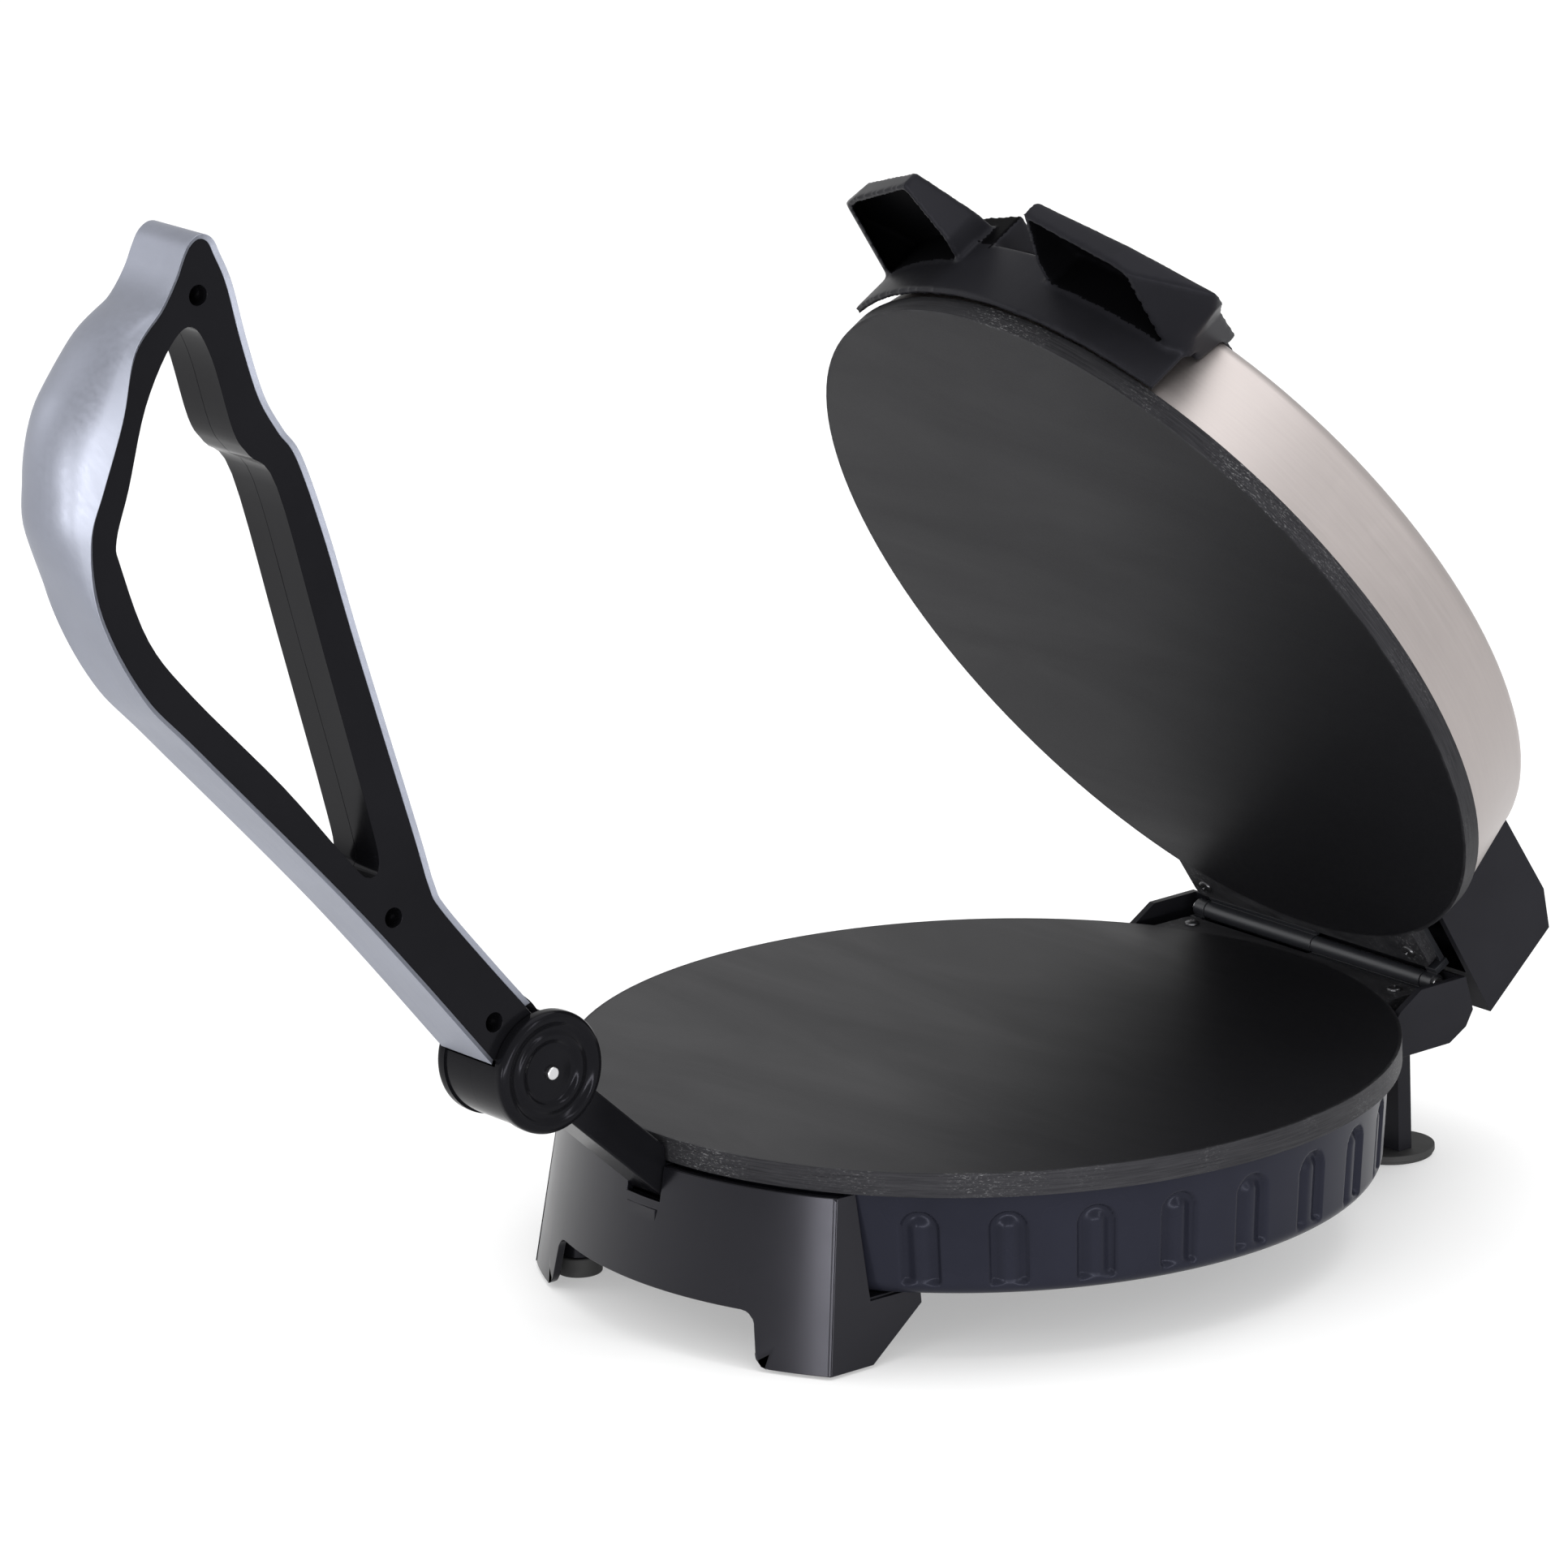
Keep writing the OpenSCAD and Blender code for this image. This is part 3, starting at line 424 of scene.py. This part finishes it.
def finished(mesh, name, finish, body, *nodes, sharp=35):
    """A piece made of a bmesh: shaded, dressed, riding on its body and standing for its nodes."""
    shade(mesh, sharp)
    o = stood(name, mesh)
    o.data.materials.append(FINISHES[finish])
    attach(o, body)
    if nodes:
        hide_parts(*nodes)
    return o


def bevelled(o, width, segments, method):
    bevel = o.modifiers.new("round", "BEVEL")
    bevel.width = width * MM
    bevel.segments = segments
    bevel.limit_method = method
    bevel.harden_normals = True
    return bevel


def round_edges(o, width, segments=3, angle=25):
    """Rounds every edge sharper than an angle."""
    bevelled(o, width, segments, "ANGLE").angle_limit = math.radians(angle)


def round_weighed(o, width, segments, clamp=True):
    """Rounds each edge by its weight."""
    bevelled(o, width, segments, "WEIGHT").use_clamp_overlap = clamp


def weigh_edges(mesh, weight_of, angle):
    """Gives each edge sharper than an angle the weight that weight_of says."""
    layer = mesh.edges.layers.float.new("bevel_weight_edge")
    for edge in mesh.edges:
        if edge.is_manifold and edge.calc_face_angle(0) > math.radians(angle):
            edge[layer] = weight_of(edge)


def softened(name, finish, width):
    """A copy of a CAD node that stands for it, with its edges rounded."""
    body = NODES[name]["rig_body"]
    round_edges(finished(merged(name), name + "_rounded", finish, body, name), width)


# Shapes. Each is drawn in millimetres from a middle of its own, and then put in its place

def by_knuckle(x, y, z):
    return Vector((x, y, z)) * MM + KNUCKLE


def by_base(x, y, z):
    return Vector((x * MM, PLATE_Y + y * MM, z * MM))


def arc(radius, degrees):
    """Points round the middle, at angles in degrees."""
    return [(radius * math.cos(math.radians(a)), radius * math.sin(math.radians(a))) for a in degrees]


def circle(centre, radius, n=32):
    return [(centre[0] + radius * math.cos(FULL_TURN * k / n),
             centre[1] + radius * math.sin(FULL_TURN * k / n)) for k in range(n)]


def smooth_line(points, n, closed=False):
    """A smooth curve through points, with n steps from each to the next."""
    count = len(points)

    def at(i):
        return points[i % count if closed else min(max(i, 0), count - 1)]

    line = []
    for i in range(count if closed else count - 1):
        a, b, c, d = (at(i + k) for k in (-1, 0, 1, 2))
        for t in (k / n for k in range(n)):
            line.append(tuple(0.5 * (2 * q + (r - p) * t + (2 * p - 5 * q + 4 * r - w) * t * t
                                     + (3 * q - p - 3 * r + w) * t ** 3)
                              for p, q, r, w in zip(a, b, c, d)))
    if not closed:
        line.append(tuple(points[-1]))
    return line


def skin(mesh, one, two):
    """Faces from one ring of corners to the next. A ring may be a single corner."""
    n = max(len(one), len(two))
    for k in range(n):
        j = (k + 1) % n
        corners = [one[k % len(one)], one[j % len(one)], two[j % len(two)], two[k % len(two)]]
        mesh.faces.new(list(dict.fromkeys(corners)))


def prism(outer, holes, x0, x1, place, bores=()):
    """A closed bmesh: an outline in (y, z) with holes, pulled through x. A bore is a round hole
    that is wide from its shelf outwards: (centre, narrow radius, wide radius, shelf)."""
    mesh = bmesh.new()

    def loop(points, x):
        return [mesh.verts.new(place(x, *p)) for p in points]

    near, far = [loop(outer, x0)], [loop(outer, x1)]
    for points in holes:
        near.append(loop(points, x0))
        far.append(loop(points, x1))
    for one, two in zip(near, far):
        skin(mesh, one, two)
    for centre, narrow, wide, shelf in bores:
        rings = [loop(circle(centre, radius), x)
                 for radius, x in ((narrow, x0), (narrow, shelf), (wide, shelf), (wide, x1))]
        for one, two in zip(rings, rings[1:]):
            skin(mesh, one, two)
        near.append(rings[0])
        far.append(rings[-1])
    for loops in (near, far):
        verts = [v for points in loops for v in points]
        for corners in tessellate_polygon([[v.co for v in points] for points in loops]):
            try:
                mesh.faces.new([verts[i] for i in corners])
            except ValueError:
                pass  # a sliver that is there already
    bmesh.ops.recalc_face_normals(mesh, faces=mesh.faces)
    bmesh.ops.dissolve_limit(mesh, angle_limit=math.radians(0.5), verts=mesh.verts, edges=mesh.edges)
    return mesh


def turned(profile, n, place):
    """A closed shell from an outline of (radius, z) points, turned round the Z axis."""
    mesh = bmesh.new()
    rings = []
    for r, z in profile:
        spots = circle((0, 0), r, n) if r else [(0, 0)]
        rings.append([mesh.verts.new(place(x, y, z)) for x, y in spots])
    for one, two in zip(rings, rings[1:]):
        skin(mesh, one, two)
    bmesh.ops.recalc_face_normals(mesh, faces=mesh.faces)
    return mesh


# The press handle: two moulded halves, drawn in (y, z) from the knuckle, and the steel band round them
HANDLE_BACK = [(-17.7, 7), (-61, 60), (-114, 119), (-132.5, 140), (-145, 165), (-148, 187), (-144, 201),
               (-136, 221.5), (-130, 238), (-120, 248), (-114.6, 255.5), (-111.6, 261.4)]
HANDLE_TIP = [(-109.4, 264.9), (-106.4, 266.5), (-103.6, 265.2)]
HANDLE_FRONT = [(-101.6, 261), (-98, 252), (-94, 235), (-89, 218), (-83, 207), (-77, 198), (-69, 174),
                (-60, 141), (-43, 82), (-38, 64), (-34, 56), (-19, 37), (-2.5, 17)]
HANDLE_EDGE = HANDLE_BACK + HANDLE_TIP + HANDLE_FRONT
WINDOW = [(-117.5, 238), (-127, 222), (-134, 200), (-139, 186), (-138, 178), (-130, 155), (-116, 136),
          (-87, 104), (-66, 78), (-59, 71), (-55, 74), (-58, 90), (-71, 141), (-84, 191), (-93, 202),
          (-98, 210), (-104, 232), (-110, 242)]
HANDLE_SCREWS = [(-107.6, 250.7), (-50.8, 57.3), (-16.8, 18.2)]
HANDLE_HALF = 11.5  # half the handle's width
BARREL_R = 19.2
TIP_Z = 258  # where the band's back ends and its tip begins
BAND = 1.6  # the band's thickness
BAND_GAP = 0.02
BAND_LIP = 0.9  # how far the band's edges stand out beside the handle
PALM_Z, PALM_ABOVE, PALM_BELOW = 215, 42, 56  # the palm swell's middle, and its reach up and down
PALM_EDGE, PALM_CROWN, PALM_SIDE = 3.1, 12.0, 4  # how far it lifts and crowns the band, and widens it


def swell(z):
    """How far the palm swell has risen at a height, from 0 to 1."""
    s = (z - PALM_Z) / (PALM_ABOVE if z > PALM_Z else PALM_BELOW)
    return 0.5 + 0.5 * math.cos(math.pi * s) if abs(s) < 1 else 0.0


def steel_band():
    """One sheet up the back, crowned for the palm, over the tip and down the front."""
    line = [p for p in smooth_line(HANDLE_EDGE, 8) if math.hypot(*p) > BARREL_R or p[0] < -15]
    across = [math.radians(a) for a in range(-90, 91, 10)]
    mesh = bmesh.new()
    rings = []
    on_back = True
    for i, (y, z) in enumerate(line):
        py, pz = line[max(i - 1, 0)]
        ny, nz = line[min(i + 1, len(line) - 1)]
        length = math.hypot(ny - py, nz - pz)
        out = (-(nz - pz) / length, (ny - py) / length)
        on_back = on_back and z < TIP_Z
        h = swell(z) if on_back else 0.0
        ring = []
        for outside, thick in ((True, BAND), (False, BAND_GAP)):
            half = HANDLE_HALF + h * (PALM_SIDE if outside else PALM_SIDE - BAND)
            for a in across:
                at_edge = a in (across[0], across[-1])
                away = thick + (0 if at_edge else h * (PALM_EDGE + PALM_CROWN * math.cos(a)))
                x = (half + (BAND_LIP if outside and at_edge else 0)) * math.sin(a)
                place = by_knuckle(x if outside else -x, y + away * out[0], z + away * out[1])
                ring.append(mesh.verts.new(place))
        rings.append(ring)
    for one, two in zip(rings, rings[1:]):
        skin(mesh, one, two)
    n = len(across)
    for ring in (rings[0], rings[-1]):
        for k in range(n - 1):
            mesh.faces.new((ring[k], ring[k + 1], ring[2 * n - 2 - k], ring[2 * n - 1 - k]))
    bmesh.ops.recalc_face_normals(mesh, faces=mesh.faces)
    round_edges(finished(mesh, "steel_band", "strip", "handle", "handle_strip", sharp=50), 0.45, 3, 50)


def handle_half(side, name):
    """One moulded half, with its seam edge barely broken and its window edge well rounded."""
    outer = smooth_line(HANDLE_EDGE, 6) + [(-1.2, 12.7)] + arc(12.7, range(100, 160, 10))
    window = smooth_line(WINDOW, 5, closed=True)
    bores = [(place, 1.4, 3.0, 3) for place in HANDLE_SCREWS] if side > 0 else []
    mesh = prism(outer[::-1], [window], 0, HANDLE_HALF, lambda x, y, z: by_knuckle(side * x, y, z), bores)

    def weight(edge):
        p, q = (v.co for v in edge.verts)
        if abs(p.x + q.x) < MM:
            return 0.3
        return 0.0 if abs((q - p).normalized().x) > 0.9 else 1.0

    weigh_edges(mesh, weight, 25)
    round_weighed(finished(mesh, name + "_moulding", "gloss", "handle", name), 1.5, 4)


def handle_ear(side, name):
    """The ear that holds the axle, inside the barrel."""
    outline = arc(12, range(-200, 91, 10)) + [(-4, 15.5), (-15.5, 7.5)]
    mesh = prism(outline, [circle((0, 0), 2.1)], 7.8, HANDLE_HALF - 0.02,
                 lambda x, y, z: by_knuckle(side * x, y, z))
    round_edges(finished(mesh, name, "gloss", "handle"), 0.4)


steel_band()
for side, word in ((1, "right"), (-1, "left")):
    handle_half(side, "handle_" + word)
    handle_ear(side, "handle_ear_" + word)


# The pan: a turned shell whose grooves are pressed in by a node tree
RIM_Z, PAN_Z, PAN_R = 54.0, 21.0, 123.0
PAN_LEAN = math.tan(math.radians(4.8))
PAN_CORNER = 5.0
PAN_WALL = 2.4
PAN_STEPS = 1200  # round the pan, fine enough for the grooves


def pan_radius(z):
    return PAN_R - (RIM_Z - z) * PAN_LEAN


def fluted_pan():
    """The pan, with a trench pressed round a rounded rib in each groove."""
    bottom = pan_radius(PAN_Z + PAN_CORNER) - PAN_CORNER
    profile = [(0, PAN_Z)] + [(r, PAN_Z) for r in range(20, 115, 10)]
    profile += [(bottom + r, PAN_Z + PAN_CORNER + z) for r, z in arc(PAN_CORNER, range(-90, 1, 9))]
    profile += [(pan_radius(z), z) for z in [PAN_Z + PAN_CORNER + 0.6 * k for k in range(1, 46)]]
    profile += [(PAN_R, RIM_Z), (PAN_R - PAN_WALL, RIM_Z)]
    profile += [(pan_radius(z) - PAN_WALL, z) for z in (50, 45, 40, 35, 30, 27)]
    profile += [(bottom, PAN_Z + 2.6), (100, PAN_Z + 2), (60, PAN_Z + 2), (0, PAN_Z + 2)]
    f = Shaping("pressed grooves", {
        "Middle Y": PLATE_Y, "First": 41.5, "Step": 12.4, "Grooves": 11, "Width": 10.9 * MM,
        "Foot": (PAN_Z + 3.2) * MM, "Top": (PAN_Z + 26.6) * MM, "Depth": 2.1 * MM, "Lean": PAN_LEAN})
    size = f.inputs
    x, y, z = f.axes(f.make("InputPosition"))
    y = y - size["Middle Y"]
    radius = (x * x + y * y) ** 0.5
    turn = x.to("ABSOLUTE").to("ARCTAN2", 0 - y).to("DEGREES") - size["First"]
    number = (turn / size["Step"]).to("ROUND").to("MAXIMUM", 0).to("MINIMUM", size["Grooves"] - 1)
    aside = (turn - number * size["Step"]).to("RADIANS") * radius
    above = (z - (size["Top"] - size["Width"] * 0.5)).to("MAXIMUM", 0)
    across = (aside * aside + above * above) ** 0.5
    trench = f.step(across, size["Width"] * 0.56, size["Width"] * 0.48)
    rib = f.step(across, size["Width"] * 0.06, size["Width"] * 0.42, 0.25)
    foot = f.step(z, size["Foot"], size["Foot"] + 2 * MM)
    wall = PAN_R * MM - (RIM_Z * MM - z) * size["Lean"]
    outside = f.make("FunctionNodeCompare", {"operation": "GREATER_THAN"}, A=radius,
                     B=wall - 0.5 * PAN_WALL * MM)
    push = trench * rib * foot * size["Depth"] * outside * -1 / radius
    pressed = f.make("SetPosition", Geometry=size["Geometry"], Offset=f.vector(x * push, y * push, 0.0))
    smooth = f.make("SetShadeSmooth", Geometry=pressed)
    o = f.applied(turned(profile, PAN_STEPS, by_base), "fluted_pan", smooth, "pan")
    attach(o, "base")
    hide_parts("base_pan")


fluted_pan()


# Screws: one tree sets a domed cross-head screw on every point

def screw_head(radius, height, shank, length):
    """A domed head with a cross recess, at the origin, pointing up Z, and its shank below."""
    n = 24
    mesh = bmesh.new()

    def ring(radii, z):
        return [mesh.verts.new((r * math.cos(FULL_TURN * k / n), r * math.sin(FULL_TURN * k / n), z))
                for k, r in enumerate(radii)]

    dome = [(shank, -length), (shank, 0), (radius, 0), (radius, 0.3 * height),
            (0.93 * radius, 0.62 * height), (0.74 * radius, 0.86 * height), (0.46 * radius, 0.97 * height)]
    rings = [ring([r] * n, z) for r, z in dome]
    in_arm = [abs(math.cos(2 * FULL_TURN * k / n)) > 0.8 for k in range(n)]
    cross = [radius * (0.46 if arm else 0.12) for arm in in_arm]
    rings += [ring(cross, 0.97 * height), ring([0.6 * r for r in cross], 0.35 * height)]
    for one, two in zip(rings, rings[1:]):
        skin(mesh, one, two)
    mesh.faces.new(rings[0])
    mesh.faces.new(rings[-1])
    bmesh.ops.recalc_face_normals(mesh, faces=mesh.faces)
    return mesh


def islands(name):
    """The loose parts of a CAD node, each as a list of its points."""
    mesh = bmesh.new()
    mesh.from_mesh(NODES[name].data)
    bmesh.ops.remove_doubles(mesh, verts=mesh.verts, dist=ONE_POINT)
    left, found = set(mesh.verts), []
    for first in mesh.verts:
        if first not in left:
            continue
        left.remove(first)
        stack, group = [first], []
        while stack:
            v = stack.pop()
            group.append(v.co.copy())
            for edge in v.link_edges:
                other = edge.other_vert(v)
                if other in left:
                    left.remove(other)
                    stack.append(other)
        found.append(group)
    mesh.free()
    return found


def screws(name, axis, finish="zinc"):
    """Cross-head screws in the places of a CAD node's plain ones, with their heads towards axis."""
    spots, sizes = [], []
    for group in islands(name):
        along = [p.dot(axis) for p in group]
        middle = sum(group, Vector()) / len(group)
        line = middle - axis * middle.dot(axis)
        off = [(p - axis * a - line).length for p, a in zip(group, along)]
        head_low = min(a for a, r in zip(along, off) if r > 0.97 * max(off))
        spots.append(line + axis * head_low)
        sizes.append((max(off), max(along) - head_low, min(off), head_low - min(along)))
    head_data = bpy.data.meshes.new(name + "_head")
    head = screw_head(*(size / MM for size in sizes[0]))
    head.to_mesh(head_data)
    head.free()
    head_object = bpy.data.objects.new(name + "_head", head_data)
    points = bmesh.new()
    for spot in spots:
        points.verts.new(spot)
    f = Shaping("screws of " + name,
                {"Scale": MM, "Axis X": axis.x, "Axis Y": axis.y, "Axis Z": axis.z, "Twist": 0.7})
    size = f.inputs
    turn = f.make("FunctionNodeAlignRotationToVector", {"axis": "Z"},
                  Vector=f.vector(size["Axis X"], size["Axis Y"], size["Axis Z"]))
    twist = f.make("FunctionNodeAxisAngleToRotation", Axis=(0, 0, 1),
                   Angle=f.make("InputIndex") * 1.3 + size["Twist"])
    placed = f.make("InstanceOnPoints", Points=size["Geometry"],
                    Instance=f.make("ObjectInfo", Object=head_object, output=4),
                    Rotation=f.make("FunctionNodeRotateRotation", {"rotation_space": "LOCAL"},
                                    Rotation=turn, Rotate_By=twist),
                    Scale=f.vector(size["Scale"], size["Scale"], size["Scale"]))
    o = f.applied(points, name + "_crossed", placed, finish)
    bpy.data.objects.remove(head_object)
    mesh = bmesh.new()
    mesh.from_mesh(o.data)
    shade(mesh, 32)
    mesh.to_mesh(o.data)
    mesh.free()
    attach(o, NODES[name]["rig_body"])
    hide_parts(name)


screws("hinge_screws_lower", UP, "blued")
screws("hinge_screws_upper", OPENING @ DOWN, "blued")
screws("lid_screws", OPENING @ UP)
screws("base_screws", DOWN)
screws("stand_screws", DOWN)
screws("handle_screws", RIGHT, "blued")

# Pieces that keep their CAD form, with their edges rounded by so many millimetres
ROUNDED = {
    "rear_housing": ("satin", 0.5), "lid_rear_bracket": ("satin", 0.5),
    "lower_plate": ("plate_low", 0.7), "upper_plate": ("plate_up", 0.7),
    "lid_cover": ("cover", 0.3),
    "hinge_lower": ("hinge", 0.25), "hinge_upper": ("hinge", 0.25),
    "rear_feet": ("rubber", 0.6), "front_feet": ("rubber", 0.6),
}
for name, (finish, width) in ROUNDED.items():
    softened(name, finish, width)


def front_stand():
    """The stand, with its two front corners rounded more than its other edges."""
    mesh = merged("front_stand")

    def weight(edge):
        p, q = (v.co for v in edge.verts)
        outward = all(face.normal.x * p.x > 0.3 * abs(p.x) for face in edge.link_faces)
        return 1.0 if outward and edge.is_convex and abs(q.z - p.z) > 20 * MM else 0.2

    weigh_edges(mesh, weight, 20)
    o = finished(mesh, "front_stand_rounded", "stand", "base", "front_stand")
    round_weighed(o, 1.4, 4, clamp=False)


STRUT_FOOT_Z = 43 * MM


def strut():
    """The strut's arm. Its pad behind the skirt is left out where the skirt hides it."""
    mesh = merged("handle_strut")
    bmesh.ops.bisect_plane(mesh, geom=mesh.verts[:] + mesh.edges[:] + mesh.faces[:],
                           plane_co=(0, 0, STRUT_FOOT_Z), plane_no=(0, 0, -1), clear_outer=True)
    bmesh.ops.holes_fill(mesh, edges=[e for e in mesh.edges if e.is_boundary])
    bmesh.ops.recalc_face_normals(mesh, faces=mesh.faces)
    round_edges(finished(mesh, "strut_rounded", "gloss", "base", "handle_strut"), 0.8)


front_stand()
strut()

# The knuckle's caps, as (radius, distance from the handle's middle)
CAP_IN, CAP_R, BORE_R = 12.4, 18.4, 2.1
CAP_FACE = [(18.6, CAP_IN), (18.6, 14.5), (18.3, 15.5), (17.6, 16.2), (16.6, 16.5), (15.5, 16.35),
            (14.5, 15.8), (13.4, 15.45), (12.4, 15.6), (11.6, 15.95), (10.6, 16.0), (9.8, 15.75),
            (9.0, 15.2), (8.0, 15.0), (6.6, 15.1), (4.4, 15.3), (2.9, 15.35), (BORE_R, 15.3)]


def knuckle_half(side, name):
    """The barrel half with a moulded, ringed cap in place of the plain disc's face."""
    mesh = merged(name)
    for v in mesh.verts:
        if side * v.co.x > 15.4 * MM:
            v.co.x = side * 14 * MM
    bmesh.ops.remove_doubles(mesh, verts=mesh.verts, dist=ONE_POINT)
    round_edges(finished(mesh, name + "_barrel", "gloss", "base", name), 0.3, 2)
    profile = [(CAP_R, CAP_IN)] + smooth_line(CAP_FACE, 4) + [(BORE_R, 13), (CAP_R, CAP_IN)]
    cap = turned(profile, 96, lambda u, v, w: by_knuckle(side * w, u, v))
    bmesh.ops.remove_doubles(cap, verts=cap.verts, dist=0.000001)
    bmesh.ops.recalc_face_normals(cap, faces=cap.faces)
    finished(cap, name + "_cap", "gloss", "base", sharp=60)


knuckle_half(1, "knuckle_right")
knuckle_half(-1, "knuckle_left")
softened("knuckle_axle", "zinc", 0.45)


def recessed(mesh, tree, share=0.62, reach=70 * MM, rays=24):
    """The numbers of the faces that see mostly the mesh itself: the insides of its pockets, where painted
    shade goes.
    """
    found = set()
    for face in mesh.faces:
        n = face.normal
        start = face.calc_center_median() + n * 0.3 * MM
        side = n.orthogonal().normalized()
        other = n.cross(side)
        blocked = 0
        for k in range(rays):
            a, tilt = 2.4 * k, (0.15 + 0.8 * (k / rays)) * 1.35
            ray = n * math.cos(tilt) + (side * math.cos(a) + other * math.sin(a)) * math.sin(tilt)
            blocked += tree.ray_cast(start, ray, reach)[0] is not None
        if blocked > share * rays:
            found.add(face.index)
    return found


def moulded(name, piece, finish, inner, body, voxel, passes):
    """A soft moulding in the form of a CAD node, its edges rounded by a fine remesh and smoothing.
    The insides of its pockets get a near-black finish of their own, as painted shade."""
    mesh = merged(name)
    mesh.normal_update()
    tree = BVHTree.FromBMesh(mesh)
    inside = recessed(mesh, tree)
    o = stood(piece, mesh)
    remesh = o.modifiers.new("remesh", "REMESH")
    remesh.mode = "VOXEL"
    remesh.voxel_size = voxel * MM
    smooth = o.modifiers.new("smooth", "SMOOTH")
    smooth.factor = 0.5
    smooth.iterations = passes
    thin = o.modifiers.new("thin", "DECIMATE")
    thin.decimate_type = "DISSOLVE"
    thin.angle_limit = math.radians(0.4)
    soft = settled(o).data
    soft.materials.append(FINISHES[finish])
    soft.materials.append(FINISHES[inner])
    for face in soft.polygons:
        face.use_smooth = True
        # faces inside the pockets take the second finish, which is painted shade
        face.material_index = int(tree.find_nearest(face.center)[2] in inside)
    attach(o, body)
    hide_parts(name)


moulded("lid_front_bracket", "lid_wings", "satin", "recess", "lid", 0.8, 9)


# The studio: a pale floor, a white room and soft lights

def floor():
    """A light table, which has a faint glow of its own."""
    half = 12.0
    data = bpy.data.meshes.new("floor")
    data.from_pydata([(-half, -half, 0), (half, -half, 0), (half, half, 0), (-half, half, 0)], [],
                     [(0, 1, 2, 3)])
    f = Finish("pale floor")
    f.wear(Base_Color=(0.62, 0.62, 0.62), Roughness=0.9,
           Emission_Color=(1, 1, 1), Emission_Strength=0.36)
    data.materials.append(f.material)
    linked("floor", data)


def white_room(lit, seen):
    """A white world, a little brighter as the camera sees it than as it lights the object."""
    world = bpy.data.worlds.new("studio")
    world.use_nodes = True
    bpy.context.scene.world = world
    sky = world.node_tree
    paper = sky.nodes["Background"]
    paper.inputs["Color"].default_value = (1, 1, 1, 1)
    path = sky.nodes.new("ShaderNodeLightPath")
    power = sky.nodes.new("ShaderNodeMapRange")
    power.inputs["To Min"].default_value = lit
    power.inputs["To Max"].default_value = seen
    sky.links.new(path.outputs["Is Camera Ray"], power.inputs["Value"])
    sky.links.new(power.outputs[0], paper.inputs["Strength"])


def area_light(name, place, aim, size, power):
    data = bpy.data.lights.new(name, "AREA")
    data.shape = "RECTANGLE"
    data.size, data.size_y = size
    data.energy = power
    lamp = linked(name, data)
    lamp.location = place
    lamp.rotation_mode = "QUATERNION"
    lamp.rotation_quaternion = (Vector(place) - Vector(aim)).to_track_quat("Z", "Y")


bpy.context.scene.view_settings.view_transform = "Standard"
floor()
white_room(0.95, 1.05)
WHOLE, STAND = (0, 0, 0.15), (0.07, -0.05, 0.05)
for lamp in (("left window", (-1.9, -1.6, 1.2), WHOLE, (1.2, 1.6), 7),
             ("left sparkle", (-1.3, -1.9, 1.3), WHOLE, (0.12, 0.5), 1.6),
             ("top window", (0.3, 0.5, 2.4), WHOLE, (2.0, 2.0), 26),
             ("right strip", (2.0, 0.6, 0.9), WHOLE, (0.2, 1.0), 7),
             ("front strip", (0.37, -1.56, 0.14), STAND, (0.24, 0.26), 5),
             ("low strip", (1.55, -0.68, 0.072), STAND, (2.0, 0.14), 20)):
    area_light(*lamp)

# The camera, at the photograph's angle
CAMERA_AZIMUTH = math.radians(52.39)
CAMERA_ELEVATION = math.radians(16.21)
CAMERA_ROLL = math.radians(-1.96)
CAMERA_DISTANCE = 3.0
CAMERA_LENS = 226.6
CAMERA_AIM = Vector((-0.0531, PLATE_Y - 0.0323, 0.1384))

back = Vector((math.sin(CAMERA_AZIMUTH) * math.cos(CAMERA_ELEVATION),
               -math.cos(CAMERA_AZIMUTH) * math.cos(CAMERA_ELEVATION), math.sin(CAMERA_ELEVATION)))
camera = linked("camera", bpy.data.cameras.new("camera"))
bpy.context.scene.camera = camera
camera.data.lens = CAMERA_LENS
camera.data.sensor_width = 36
camera.data.clip_end = 100
camera.location = CAMERA_AIM + CAMERA_DISTANCE * back
camera.rotation_mode = "QUATERNION"
roll = Matrix.Rotation(CAMERA_ROLL, 3, "Z").to_quaternion()
camera.rotation_quaternion = back.to_track_quat("Z", "Y") @ roll
